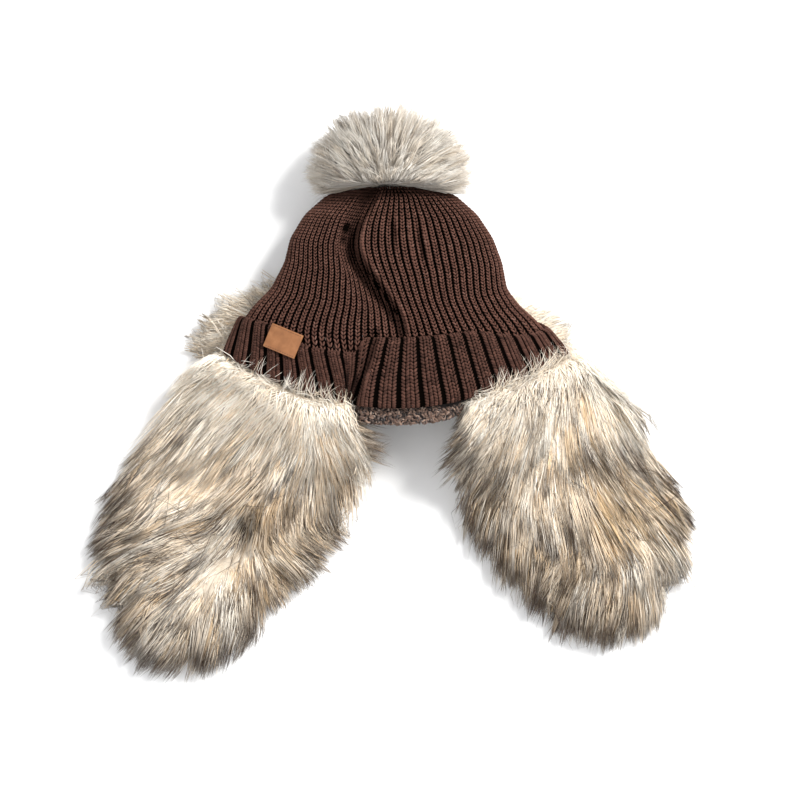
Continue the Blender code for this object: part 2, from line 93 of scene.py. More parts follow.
# %% Look straight down
VIEW_CENTRE = (0.0036, -0.090)
VIEW_SPAN = 0.72
FLOOR_TO_MIDDLE = 0.045
LENS_MM = 90.0
SENSOR_MM = 36.0

camera_height = FLOOR_TO_MIDDLE + VIEW_SPAN * LENS_MM / SENSOR_MM
bpy.ops.object.camera_add(location=(*VIEW_CENTRE, camera_height), rotation=(0.0, 0.0, 0.0))
camera = bpy.context.object
camera.name = "camera"
camera.data.lens = LENS_MM
camera.data.sensor_width = SENSOR_MM
camera.data.clip_end = 20.0
bpy.context.scene.camera = camera
print("camera stands %.2f m above the floor" % camera_height)

# %% [markdown]
# ## Colour and node helpers
# Colours are picked as the hex values that a screen shows, so one function turns them to the linear
# values that a shader wants. A second one adds a node, sets it and links it, so that each material
# reads as a list of what it is made of.

# %% Colour and node helpers
def linear(hex_colour, alpha=1.0):
    """Turn an sRGB hex colour to linear values."""
    channels = [int(hex_colour[start:start + 2], 16) / 255.0 for start in (1, 3, 5)]
    values = [c / 12.92 if c <= 0.04045 else ((c + 0.055) / 1.055) ** 2.4 for c in channels]
    return (*values, alpha)


def add_node(tree, kind, inputs=None, **settings):
    """Add a node, set its properties, and fill its sockets with values or links."""
    node = tree.nodes.new(kind)
    for name, value in settings.items():
        setattr(node, name, value)
    for name, value in (inputs or {}).items():
        if isinstance(value, bpy.types.NodeSocket):
            tree.links.new(value, node.inputs[name])
        else:
            node.inputs[name].default_value = value
    return node


def set_ramp(node, stops):
    """Give a colour ramp its stops, as pairs of a place and a hex colour."""
    ramp = node.color_ramp
    while len(ramp.elements) < len(stops):
        ramp.elements.new(1.0)
    for element, (place, colour) in zip(ramp.elements, stops):
        element.position = place
        element.color = linear(colour)
    return node


def new_material(name):
    """Start a material and give its node tree and its surface shader."""
    material = bpy.data.materials.new(name)
    material.use_nodes = True
    return material, material.node_tree, material.node_tree.nodes["Principled BSDF"]


# %% [markdown]
# ## Brown acrylic rib knit
# The yarn is a plied acrylic, dull and slightly hairy, so it has no gloss but a soft sheen. Each stitch
# carries its own tone, darkened as painted shade where a fold squeezes its wale, and the ground between the
# ribs is painted near-black as the shade between them.

# %% Yarn material
YARN_PLY_MM = 0.55
YARN_FUZZ_MM = 0.25


def make_yarn():
    """Plied acrylic yarn: dull brown, with a tone for each stitch that also carries painted shade, and
    twisted plies as bump.
    """
    material, tree, shader = new_material("acrylic_rib_yarn")
    tone = add_node(tree, "ShaderNodeAttribute", attribute_name="tone")
    place = add_node(tree, "ShaderNodeTexCoord")
    # Tone 0 is the near-black painted shade of the knit's ground; low tones are stitches painted darker as
    # shade in the folds.
    colours = set_ramp(add_node(tree, "ShaderNodeValToRGB", {"Fac": tone.outputs["Fac"]}),
                       ((0.0, "#060403"), (0.35, "#281A16"), (0.7, "#593C32"), (1.0, "#7D5E53")))
    mottle = add_node(tree, "ShaderNodeTexNoise",
                      {"Vector": place.outputs["Object"], "Scale": 1.0 / (9.0 * MM), "Detail": 3.0})
    shade = add_node(tree, "ShaderNodeMapRange",
                     {"Value": mottle.outputs["Fac"], "To Min": 0.86, "To Max": 1.12})
    mixed = add_node(tree, "ShaderNodeVectorMath",
                     {0: colours.outputs["Color"], "Scale": shade.outputs["Result"]}, operation="SCALE")
    tree.links.new(mixed.outputs["Vector"], shader.inputs["Base Color"])
    fuzz = add_node(tree, "ShaderNodeTexNoise",
                    {"Vector": place.outputs["Object"], "Scale": 1.0 / (YARN_FUZZ_MM * MM), "Detail": 2.0})
    plies = add_node(tree, "ShaderNodeTexWave",
                     {"Vector": place.outputs["Object"], "Scale": 0.16 / (YARN_PLY_MM * MM),
                      "Distortion": 2.0, "Detail": 1.0}, bands_direction="DIAGONAL")
    relief = add_node(tree, "ShaderNodeMath",
                      {0: fuzz.outputs["Fac"], 1: plies.outputs["Fac"]}, operation="ADD")
    bump = add_node(tree, "ShaderNodeBump",
                    {"Height": relief.outputs["Value"], "Strength": 0.5, "Distance": 0.3 * MM})
    tree.links.new(bump.outputs["Normal"], shader.inputs["Normal"])
    shader.inputs["Roughness"].default_value = 0.88
    gloss = add_node(tree, "ShaderNodeMapRange",
                     {"Value": tone.outputs["Fac"], "To Min": 0.0, "To Max": 0.15})
    tree.links.new(gloss.outputs["Result"], shader.inputs["Sheen Weight"])
    tree.links.new(gloss.outputs["Result"], shader.inputs["Specular IOR Level"])
    shader.inputs["Sheen Roughness"].default_value = 0.5
    shader.inputs["Sheen Tint"].default_value = linear("#9A7B6C")
    return material


yarn = make_yarn()
print("made material", yarn.name)

# %% [markdown]
# ## Long faux fur
# Faux fur is made of acrylic fibres knitted into a backing. Its short undercoat is grey-brown, the long
# hair is cream and beige, and the guard hairs have dark-brown tips. Each hair here carries four values:
# how far along it a point lies, how warm it is, how dark its tip is, and its tone, which is painted
# shade with a random lightness. The material reads them.

# %% Fur material
def make_fur(name, root, pale, warm, tip):
    """Acrylic pile: grey-brown at the root, cream or beige along the hair, and dark at the tip, scaled by a
    tone that holds painted shade.
    """
    material, tree, shader = new_material(name)
    along, warmth, dark, tone = [add_node(tree, "ShaderNodeAttribute", attribute_name=value).outputs["Fac"]
                                 for value in ("along", "warm", "dark", "tone")]
    body = add_node(tree, "ShaderNodeMix", {"Factor": warmth, "A": linear(pale), "B": linear(warm)},
                    data_type="RGBA")
    rise = add_node(tree, "ShaderNodeMapRange", {"Value": along, "From Min": 0.0, "From Max": 0.18})
    shaft = add_node(tree, "ShaderNodeMix",
                     {"Factor": rise.outputs["Result"], "A": linear(root), "B": body.outputs[2]},
                     data_type="RGBA")
    end = add_node(tree, "ShaderNodeMapRange", {"Value": along, "From Min": 0.4, "From Max": 0.75})
    amount = add_node(tree, "ShaderNodeMath", {0: end.outputs["Result"], 1: dark}, operation="MULTIPLY")
    colour = add_node(tree, "ShaderNodeMix",
                      {"Factor": amount.outputs["Value"], "A": shaft.outputs[2], "B": linear(tip)},
                      data_type="RGBA")
    shade = add_node(tree, "ShaderNodeMapRange", {"Value": tone, "To Min": 0.72, "To Max": 1.08})
    shaded = add_node(tree, "ShaderNodeVectorMath",
                      {0: colour.outputs[2], "Scale": shade.outputs["Result"]}, operation="SCALE")
    tree.links.new(shaded.outputs["Vector"], shader.inputs["Base Color"])
    shader.inputs["Roughness"].default_value = 0.48
    shader.inputs["Specular IOR Level"].default_value = 0.45
    return material


flap_pile = make_fur("long_pile_flap_fur", "#B3A38F", "#FFF8EB", "#EACBA0", "#432A1B")
pompom_pile = make_fur("long_pile_pompom_fur", "#938A80", "#DED9D0", "#CDB99E", "#4A3B33")
print("made materials", flap_pile.name, "and", pompom_pile.name)

# %% [markdown]
# ## Boucle, leather and the floor
# Boucle is a curly yarn: its loops are modelled, and the material gives them a heathered brown. The tab
# is coated leather, with a fine grain and a slight gloss. The floor is a plain pale sweep.

# %% Boucle, leather, thread and floor materials
LEATHER_GRAIN_MM = 0.35


def make_boucle():
    """Heathered brown boucle: each loop has its own tone."""
    material, tree, shader = new_material("boucle_fleece")
    tone = add_node(tree, "ShaderNodeAttribute", attribute_name="tone")
    place = add_node(tree, "ShaderNodeTexCoord")
    colours = set_ramp(add_node(tree, "ShaderNodeValToRGB", {"Fac": tone.outputs["Fac"]}),
                       ((0.0, "#1C130F"), (0.4, "#533D31"), (0.75, "#775E4F"), (1.0, "#A08776")))
    tree.links.new(colours.outputs["Color"], shader.inputs["Base Color"])
    fuzz = add_node(tree, "ShaderNodeTexNoise",
                    {"Vector": place.outputs["Object"], "Scale": 1.0 / (0.5 * MM), "Detail": 2.0})
    bump = add_node(tree, "ShaderNodeBump",
                    {"Height": fuzz.outputs["Fac"], "Strength": 0.5, "Distance": 0.4 * MM})
    tree.links.new(bump.outputs["Normal"], shader.inputs["Normal"])
    shader.inputs["Roughness"].default_value = 0.95
    shader.inputs["Sheen Weight"].default_value = 0.2
    return material


def make_leather():
    """Coated tan leather: fine pebble grain, with a cloudy tone."""
    material, tree, shader = new_material("coated_tan_leather")
    place = add_node(tree, "ShaderNodeTexCoord")
    grain = add_node(tree, "ShaderNodeTexVoronoi",
                     {"Vector": place.outputs["Object"], "Scale": 1.0 / (LEATHER_GRAIN_MM * MM)})
    cloud = add_node(tree, "ShaderNodeTexNoise",
                     {"Vector": place.outputs["Object"], "Scale": 1.0 / (7.0 * MM), "Detail": 4.0})
    colours = set_ramp(add_node(tree, "ShaderNodeValToRGB", {"Fac": cloud.outputs["Fac"]}),
                       ((0.3, "#7A4C27"), (0.5, "#86552E"), (0.7, "#916038")))
    tree.links.new(colours.outputs["Color"], shader.inputs["Base Color"])
    bump = add_node(tree, "ShaderNodeBump",
                    {"Height": grain.outputs["Distance"], "Strength": 0.35, "Distance": 0.08 * MM})
    tree.links.new(bump.outputs["Normal"], shader.inputs["Normal"])
    shader.inputs["Roughness"].default_value = 0.5
    return material


def make_plain(name, colour, roughness):
    """A matt material that varies only a little in tone."""
    material, tree, shader = new_material(name)
    place = add_node(tree, "ShaderNodeTexCoord")
    cloud = add_node(tree, "ShaderNodeTexNoise", {"Vector": place.outputs["Object"], "Scale": 40.0})
    shade = add_node(tree, "ShaderNodeMapRange",
                     {"Value": cloud.outputs["Fac"], "To Min": 0.97, "To Max": 1.03})
    mixed = add_node(tree, "ShaderNodeVectorMath", {0: linear(colour)[:3], "Scale": shade.outputs["Result"]},
                     operation="SCALE")
    tree.links.new(mixed.outputs["Vector"], shader.inputs["Base Color"])
    shader.inputs["Roughness"].default_value = roughness
    return material


boucle = make_boucle()
leather = make_leather()
thread = make_plain("waxed_brown_thread", "#5A3418", 0.6)
paper = make_plain("pale_paper_sweep", "#F7F6F4", 0.9)
print("made materials", boucle.name, leather.name, thread.name, paper.name)

# %% [markdown]
# ## The cap's form
# Crown, cuff and lining share one form, so they are one function: a squared oval at each share of the
# cap's length, sagging at the middle of the rim, with valleys pressed into its front. The sizes repeat
# those of the frame. A small average along the length rounds the corners between the table's rows.

# %% Sizes of the form
RIM_HALF_WIDTH = 0.151
RIM_SAG = 0.049
RIM_SIDE_Y = -0.046
CAP_LENGTH = 0.150
CAP_DEPTH = 0.066
CROWN_WALL = 0.0035
CUFF_SHARE = 0.193
CUFF_WALL = 0.005
CUFF_FOLD = 0.0025
LINING_WALL = 0.004
LINING_DROP = 0.017
LINING_MOUND = 0.45
LINING_EDGE = 0.0015
LINING_FROM_X = -0.042
LINING_TO_X = 0.062
LAYER_GAP = 0.0005
RIM_FLOOR = 0.0189
FRONT_CORNER = 0.85
BACK_CORNER = 0.60
BACK_SAG = 0.45
WALES = 88

CUFF_IN = LAYER_GAP
CUFF_OUT = CUFF_IN + CUFF_WALL
LINING_OUT = -CROWN_WALL - LAYER_GAP
LINING_IN = LINING_OUT - LINING_WALL

# along is a share of the cap's length, half_width and lean of RIM_HALF_WIDTH, sag of RIM_SAG, floor of
# RIM_FLOOR, and top of CAP_DEPTH.
Station = namedtuple("Station", "along half_width lean sag floor top")
STATIONS = (
    Station(0.000, 1.000, 0.000, 1.00, 1.00, 1.00),
    Station(0.193, 0.865, -0.040, 0.41, 0.99, 1.02),
    Station(0.273, 0.790, -0.055, 0.36, 0.97, 1.03),
    Station(0.373, 0.705, -0.042, 0.33, 0.90, 1.02),
    Station(0.533, 0.652, -0.016, 0.28, 0.62, 0.98),
    Station(0.680, 0.610, -0.026, 0.22, 0.30, 0.90),
    Station(0.827, 0.524, -0.030, 0.15, 0.04, 0.76),
    Station(0.953, 0.390, -0.030, 0.06, 0.22, 0.52),
    Station(1.000, 0.225, -0.020, 0.00, 0.80, 0.32),
)
ROUNDING = np.array((-0.024, -0.012, 0.0, 0.012, 0.024))

# Folds in the front. Each has the slopes on its left and right, which way it runs from its root (up is
# 1, down is -1), how much it leads the wales on its right and how far round that reaches, how wide a
# share of them it swallows, how those on its left follow it, and its marks. Slopes and marks are in mm.
# The long fold runs up the crown, the crease down the cuff, and two small notches dent the crown.
FoldMark = namedtuple("FoldMark", "x y depth")
Fold = namedtuple("Fold", "left right way lead reach swallowed follow marks")
LONG_FOLD = Fold(13.0, 4.0, 1, 0.60, 0.22, 0.070, 0.35, (
    FoldMark(5, -33, 10), FoldMark(3, -20, 16), FoldMark(-7, -3, 20), FoldMark(-19, 13, 24),
    FoldMark(-32, 31, 26), FoldMark(-39, 47, 26), FoldMark(-37, 63, 25), FoldMark(-29, 79, 18),
    FoldMark(-17, 98, 7)))
CUFF_CREASE = Fold(10.0, 3.0, -1, 0.75, 0.11, 0.050, -0.45, (
    FoldMark(-17, -34, 8), FoldMark(-23, -53, 9), FoldMark(-31, -71, 10), FoldMark(-37, -90, 10),
    FoldMark(-39, -104, 9)))
NOTCHES = (
    Fold(4.5, 3.0, 1, 0.0, 1.0, 0.0, 0.0, (
        FoldMark(-3, 40, 0), FoldMark(-2, 52, 6), FoldMark(-4, 66, 8), FoldMark(-8, 84, 0))),
    Fold(4.5, 3.0, 1, 0.0, 1.0, 0.0, 0.0, (
        FoldMark(27, 18, 0), FoldMark(24, 36, 7), FoldMark(20, 56, 9), FoldMark(18, 80, 0))),
)
FOLD_ROUNDING = np.array((-6.0, -3.0, 0.0, 3.0, 6.0)) * MM
FOLD_START = 10.0 * MM

# Where the cuff's top edge dips: the first four are shares of RIM_HALF_WIDTH, the last one of CUFF_SHARE.
Dip = namedtuple("Dip", "start rise end fall depth")
CUFF_DIPS = (Dip(-0.85, 0.35, -0.14, 0.10, 0.28), Dip(0.50, 0.45, 1.50, 0.10, 0.36))
DIP_FADE = 0.6


# %% Functions of the form
def smooth(share):
    """Ease from 0 to 1 as the share goes from 0 to 1."""
    share = np.clip(share, 0.0, 1.0)
    return share * share * (3.0 - 2.0 * share)


def profile(along):
    """Give the crown's half width, lean, sag, floor and top at shares of its length."""
    along = np.asarray(along, float)
    step = np.minimum(1.0, (1.0 - along) * 12.0)
    places = np.clip(along[..., None] + ROUNDING * step[..., None], 0.0, 1.0)
    rows = [row.along for row in STATIONS]
    half_width, lean, sag, floor, top = [
        np.interp(places, rows, [getattr(row, name) for row in STATIONS]).mean(axis=-1)
        for name in ("half_width", "lean", "sag", "floor", "top")]
    return (RIM_HALF_WIDTH * half_width, RIM_HALF_WIDTH * lean, RIM_SAG * sag, RIM_FLOOR * floor,
            RIM_FLOOR + CAP_DEPTH * top)


def section_shape(angle):
    """Give a squared circle's shares across and up at each angle."""
    cosine = np.cos(angle)
    sine = np.sin(angle)
    across = np.sign(cosine) * np.abs(cosine) ** FRONT_CORNER
    up = np.sign(sine) * np.abs(sine) ** np.where(sine >= 0.0, FRONT_CORNER, BACK_CORNER)
    return across, up


def section_reach(half_width, half_depth):
    """Give angles all round a section and how far round it each of them is."""
    fine = np.linspace(0.0, 2.0 * math.pi, 1441)
    across, up = section_shape(fine)
    steps = np.hypot(np.diff(half_width * across), np.diff(half_depth * up))
    return fine, np.concatenate(([0.0], np.cumsum(steps)))


def read_fold(fold, y):
    """Give a fold's x and depth at heights y, rounded between its marks."""
    marks = np.array(sorted((mark.y, mark.x, mark.depth) for mark in fold.marks)).T * MM
    rows = np.asarray(y)[..., None] + FOLD_ROUNDING
    x, depth = [np.interp(rows, marks[0], column).mean(axis=-1) for column in marks[1:]]
    return x, depth


def dent_depth(x, y):
    """Give how far the front is pressed in: a gentle slope left of each fold and a steep one right of it."""
    depth = np.zeros_like(x)
    for fold in (LONG_FOLD, CUFF_CREASE, *NOTCHES):
        fold_x, fold_depth = read_fold(fold, y)
        slant = (read_fold(fold, y + 4.0 * MM)[0] - read_fold(fold, y - 4.0 * MM)[0]) / (8.0 * MM)
        off = (x - fold_x) / np.hypot(1.0, slant)
        root = fold.marks[0].y * MM
        begun = smooth(((y - root) * fold.way + FOLD_START) / FOLD_START)
        slope = np.where(off > 0.0, fold.right, fold.left) * MM
        depth = np.maximum(depth, fold_depth * begun * np.exp(-np.abs(off / slope) ** 2.6))
    return depth


def wale_at(x, y):
    """Give the share of the way round of the wale that passes a place of the front."""
    rows = np.linspace(0.0, 1.0, 201)
    _, _, sag, _, _ = profile(rows)
    half_width, lean, _, floor, top = profile(np.interp(y, RIM_SIDE_Y + rows * CAP_LENGTH - sag, rows))
    return 0.25 - (x - lean) / section_reach(half_width, (top - floor) / 2.0)[1][-1]


def gathered(shares, along):
    """Lead wales along the folds: those on the right follow the fold, and those on its left run into it."""
    half_width, lean, sag, floor, top = profile(along)
    around = section_reach(half_width, (top - floor) / 2.0)[1][-1]
    y = RIM_SIDE_Y + along * CAP_LENGTH - sag
    led = np.zeros_like(shares)
    for fold in (LONG_FOLD, CUFF_CREASE):
        root = fold.marks[0]
        fold_share = 0.25 - (read_fold(fold, y)[0] - lean) / around
        moved = (fold_share - wale_at(root.x * MM, root.y * MM)) * fold.lead
        moved = moved * smooth((y - root.y * MM) * fold.way / FOLD_START)
        off = np.mod(shares - (fold_share - moved) + 0.5, 1.0) - 0.5
        swallowed = fold.follow + (1.0 - fold.follow) * np.clip(1.0 - off / fold.swallowed, 0.0, 1.0)
        led += moved * np.where(off > 0.0, swallowed * (1.0 - smooth((off - fold.swallowed) / 0.3)),
                                1.0 - smooth(-off / fold.reach))
    return np.mod(shares + led, 1.0)


def cuff_dip(across, up):
    """Give how much lower the cuff's top edge is, as a share of its height."""
    dip = np.zeros_like(across)
    for row in CUFF_DIPS:
        dip += row.depth * smooth((across - row.start) / row.rise) * smooth((row.end - across) / row.fall)
    return dip * smooth((up + DIP_FADE) / DIP_FADE)


def form_ring(along, out, shares, dipped=0.0):
    """Give points of the form at shares of the way round, out from the crown's face."""
    half_width, _, _, floor, top = profile(along)
    angles, reach = section_reach(half_width, (top - floor) / 2.0)
    across, up = section_shape(np.interp(gathered(shares, along) * reach[-1], reach, angles))
    along = along - CUFF_SHARE * dipped * cuff_dip(across, up)
    half_width, lean, sag, floor, top = profile(along)
    slack = np.where(up >= 0.0, sag, sag * BACK_SAG) * (1.0 - across * across)
    face_x = lean + half_width * across
    face_y = RIM_SIDE_Y + along * CAP_LENGTH - slack
    x = lean + (half_width + out) * across
    y = RIM_SIDE_Y + along * (CAP_LENGTH + out) - slack
    z = (top + floor) / 2.0 + ((top - floor) / 2.0 + out) * up
    z = z - dent_depth(face_x, face_y) * np.maximum(up, 0.0)
    return np.stack((x, y, z), axis=-1)


print("the crown is %.0f mm wide half way up" % (2.0 * profile(0.5)[0] / MM))

# %% [markdown]
# ## Meshes from arrays
# Stitches, hairs and loops are many and small. Each kind has one small shape, whose copies are worked
# out together as arrays and joined in one mesh, because thousands of objects would be slow to handle.

# %% Mesh helpers
def deselect_all():
    """Leave nothing selected, so that an operator acts on its own object alone."""
    bpy.ops.object.select_all(action="DESELECT")


def mesh_piece(name, points, triangles, material, **values):
    """Make a smooth-shaded object of triangles, with a float for each point in every named attribute."""
    mesh = bpy.data.meshes.new(name)
    mesh.vertices.add(len(points))
    mesh.vertices.foreach_set("co", np.asarray(points, np.float32).ravel())
    mesh.loops.add(3 * len(triangles))
    mesh.loops.foreach_set("vertex_index", np.asarray(triangles, np.int32).ravel())
    mesh.polygons.add(len(triangles))
    mesh.polygons.foreach_set("loop_start", np.arange(0, 3 * len(triangles), 3, dtype=np.int32))
    mesh.polygons.foreach_set("use_smooth", np.ones(len(triangles), bool))
    for attribute, numbers in values.items():
        layer = mesh.attributes.new(attribute, "FLOAT", "POINT")
        layer.data.foreach_set("value", np.asarray(numbers, np.float32))
    mesh.update(calc_edges=True)
    mesh.validate()
    mesh.materials.append(material)
    piece = bpy.data.objects.new(name, mesh)
    bpy.context.scene.collection.objects.link(piece)
    return piece


def loft_faces(rings, columns):
    """Give the triangles between rings of points that follow each other."""
    ring = np.arange(rings - 1)[:, None] * columns
    here = np.arange(columns)[None, :]
    ahead = (here + 1) % columns
    a, b = ring + here, ring + ahead
    c, d = b + columns, a + columns
    return np.concatenate((np.stack((a, b, c), -1).reshape(-1, 3), np.stack((a, c, d), -1).reshape(-1, 3)))


def cap_faces(first, columns, point, turned):
    """Give the fan of triangles that closes a ring to one point."""
    here = first + np.arange(columns)
    ahead = first + (np.arange(columns) + 1) % columns
    pair = (ahead, here) if turned else (here, ahead)
    return np.stack((*pair, np.full(columns, point)), -1)


def repeat_shape(points, triangles):
    """Join copies of a shape: points is (copies, corners, 3), and triangles is of one copy."""
    copies, corners, _ = points.shape
    faces = triangles[None, :, :] + (np.arange(copies) * corners)[:, None, None]
    return points.reshape(-1, 3), faces.reshape(-1, 3)


def unit(vectors):
    """Scale vectors to a length of one."""
    return vectors / np.maximum(np.linalg.norm(vectors, axis=-1, keepdims=True), 1e-9)


def place_piece(piece, slot, *nodes):
    """Let a piece ride with the cap and stand for its solids."""
    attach(piece, "root")
    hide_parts(*nodes)
    print("%s: %d triangles" % (piece.name, len(piece.data.polygons)))


# %% [markdown]
# ## Knitting
# Rib knit is columns of V-shaped stitches, the wales, that stand out, with purl columns sunk between
# them. Each V is two yarn legs. A leg is a small spindle of ten points, placed on the form with its
# tip tucked under the next stitch. Below them lies a ribbed ground, closed as a wall and painted
# near-black as the shade between the stitches.

# %% One yarn leg and the knitted sheet
LEG_TRIANGLES = np.array(
    [(0, 1 + k, 1 + (k + 1) % 4) for k in range(4)]
    + [(1 + k, 5 + k, 5 + (k + 1) % 4) for k in range(4)]
    + [(1 + k, 5 + (k + 1) % 4, 1 + (k + 1) % 4) for k in range(4)]
    + [(5 + k, 9, 5 + (k + 1) % 4) for k in range(4)])
LegMark = namedtuple("LegMark", "share lift size")
LEG_MARKS = (LegMark(0.0, -0.2, 0.0), LegMark(0.3, 0.35, 1.0), LegMark(0.72, 0.25, 0.95),
             LegMark(1.0, -0.6, 0.0))
LEG_COURSES = 1.2
OPEN_PITCH = 0.85
Knit = namedtuple("Knit", "courses wale_middles start lean width thickness tone seed")


def sheet_grid(path, columns, relief):
    """Lay a grid over the form: path gives an along, an out and a dip for each row."""
    shares = np.arange(columns) / columns
    points = np.stack([form_ring(along, out + relief(shares), shares, dip) for along, out, dip in path])
    across = np.roll(points, -1, axis=1) - np.roll(points, 1, axis=1)
    normals = unit(np.cross(across, np.gradient(points, axis=0)))
    return points, normals, evened(np.linalg.norm(across, axis=-1) / 2.0 * columns)


def evened(sizes):
    """Average each size with those round it, over a wale and over two courses."""
    padded = np.pad(sizes, ((2, 2), (0, 0)), mode="edge")
    upwards = sum(padded[start:start + len(sizes)] for start in range(5)) / 5.0
    return sum(np.roll(upwards, shift, axis=1) for shift in range(-2, 3)) / 5.0


def read_grid(grid, row, share):
    """Read a grid between its points, at fractional rows and shares of the way round."""
    rows, columns = grid.shape[:2]
    row = np.clip(row, 0.0, rows - 1.001)
    column = np.mod(share, 1.0) * columns
    low_row, low_column = row.astype(int), column.astype(int) % columns
    row_part, column_part = row - low_row, column - np.floor(column)
    next_column = (low_column + 1) % columns
    if grid.ndim == 3:
        row_part, column_part = row_part[..., None], column_part[..., None]
    lower = grid[low_row, low_column] * (1 - column_part) + grid[low_row, next_column] * column_part
    upper = grid[low_row + 1, low_column] * (1 - column_part) + grid[low_row + 1, next_column] * column_part
    return lower * (1 - row_part) + upper * row_part


def knit_legs(sheet, knit):
    """Lay both legs of every stitch on a sheet, and give their points, triangles and tones, with painted
    shade darkening the stitches that a fold squeezes together.
    """
    points, normals, round_size = sheet
    rows_per_course = (len(points) - 1) / knit.courses
    draw = np.random.default_rng(knit.seed)
    wale, course, side = np.meshgrid(knit.wale_middles, np.arange(knit.courses), (-1.0, 1.0), indexing="ij")
    wale, course, side = wale.ravel(), course.ravel(), side.ravel()
    count = len(wale)
    row = (course + draw.normal(0.0, 0.05, count)) * rows_per_course
    pitch = read_grid(round_size, row, wale) / WALES
    even = np.repeat(round_size.mean(axis=1, keepdims=True), 2, axis=1)
    # Painted shade: where a fold squeezes the wales closer than OPEN_PITCH of their ring's mean, the
    # stitches' tone is darkened, down to 15 %.
    squeeze_shade = smooth(pitch * WALES / read_grid(even, row, 0.0 * wale) / OPEN_PITCH)
    spine = []
    for mark in LEG_MARKS:
        at_row = row + mark.share * LEG_COURSES * rows_per_course
        at_share = wale + side * (knit.start + (knit.lean - knit.start) * mark.share) / WALES
        lift = read_grid(normals, at_row, at_share) * mark.lift * MM
        spine.append(read_grid(points, at_row, at_share) + lift)
    spine = np.stack(spine, axis=1)
    normal = unit(read_grid(normals, row + 0.7 * rows_per_course, wale + side * 0.5 * knit.lean / WALES))
    sideways = unit(np.cross(normal, unit(spine[:, -1] - spine[:, 0])))
    half = (pitch * knit.width * draw.uniform(0.92, 1.08, count))[:, None]
    deep = np.minimum(half, knit.thickness)
    corners = [spine[:, 0]]
    for number, mark in enumerate(LEG_MARKS[1:3], 1):
        for direction, reach in ((sideways, half), (normal, deep), (-sideways, half), (-normal, deep)):
            corners.append(spine[:, number] + direction * reach * mark.size)
    corners.append(spine[:, -1])
    legs, faces = repeat_shape(np.stack(corners, axis=1), LEG_TRIANGLES)
    tones = np.repeat(draw.normal(knit.tone, 0.05, count) * (0.15 + 0.85 * squeeze_shade), 10)
    return legs, faces, tones


def join_shapes(*shapes):
    """Join shapes of points, triangles and values into one."""
    starts = np.cumsum([0] + [len(shape[0]) for shape in shapes[:-1]])
    points = np.concatenate([shape[0] for shape in shapes])
    faces = np.concatenate([shape[1] + start for shape, start in zip(shapes, starts)])
    values = [np.concatenate([shape[column] for shape in shapes]) for column in range(2, len(shapes[0]))]
    return (points, faces, *values)


# %% [markdown]
# ## The crown
# The crown's wales run from the rim to one gathered tip. Its courses are a stitch of about 2.6 mm. The
# ground is a wall that goes up outside and down inside, so the hollow for the head stays open.

# %% Crown
CROWN_COLUMNS = 3 * WALES
CROWN_FIRST = 0.105
CROWN_KNIT = Knit(53, np.arange(WALES) / WALES, 0.04, 0.33, 0.14, 0.9 * MM, 0.66, 3)


def wale_relief(shares):
    """Round each wale of the crown like a cord."""
    return -1.3 * MM * (0.5 - 0.5 * np.cos(2.0 * math.pi * WALES * shares))


def crown_ground():
    """The ribbed wall under the stitches, painted near-black as their shade, closed at its tip and at its
    rim.
    """
    shares = np.arange(CROWN_COLUMNS) / CROWN_COLUMNS
    inner = [form_ring(along, -CROWN_WALL, shares) for along in np.linspace(0.985, 0.004, 14)]
    outer = [form_ring(along, -2.2 * MM + wale_relief(shares), shares)
             for along in np.linspace(0.004, 0.998, 32)]
    points = np.concatenate(inner + outer)
    count = len(points)
    tips = [inner[0].mean(axis=0), outer[-1].mean(axis=0) + np.array((0.0, 0.4 * MM, 0.0))]
    faces = np.concatenate((
        loft_faces(len(inner) + len(outer), CROWN_COLUMNS),
        cap_faces(0, CROWN_COLUMNS, count, True),
        cap_faces(count - CROWN_COLUMNS, CROWN_COLUMNS, count + 1, False)))
    # Tone 0 paints the ground near-black, as the shade between the stitches.
    return np.concatenate((points, tips)), faces, np.zeros(count + 2)


def make_crown():
    """Knit the crown: its ground and the stitches of 88 wales."""
    rows = np.linspace(CROWN_FIRST, 1.0, 2 * CROWN_KNIT.courses + 1)
    sheet = sheet_grid([(along, -0.5 * MM, 0.0) for along in rows], 4 * WALES, wale_relief)
    points, faces, tones = join_shapes(crown_ground(), knit_legs(sheet, CROWN_KNIT))
    piece = mesh_piece("crown_knit", points, faces, yarn, tone=tones)
    place_piece(piece, "knit", "crown")
    return piece


crown = make_crown()

# %% [markdown]
# ## The cuff
# The rim is turned up once, so the cuff shows broad ribs of two wales each. Its sheet starts under the
# fold, comes round it, climbs the front and turns in at the top edge, which dips at the left and at the
# right end.

# %% Cuff
RIBS = WALES // 2
RIB_MIDDLES = np.arange(RIBS) / RIBS
CUFF_KNIT = Knit(25, np.concatenate((RIB_MIDDLES + 0.30 / RIBS, RIB_MIDDLES + 0.70 / RIBS)),
                 0.04, 0.38, 0.155, 0.9 * MM, 0.54, 4)


def rib_relief(shares):
    """Round each rib of the cuff, with a shallow line between its two wales."""
    rib = 0.5 - 0.5 * np.cos(2.0 * math.pi * RIBS * shares)
    line = np.exp(-(((np.mod(RIBS * shares, 1.0) - 0.5) / 0.07) ** 2))
    return (-2.4 * (1.0 - rib) ** 1.5 - 0.7 * line) * MM


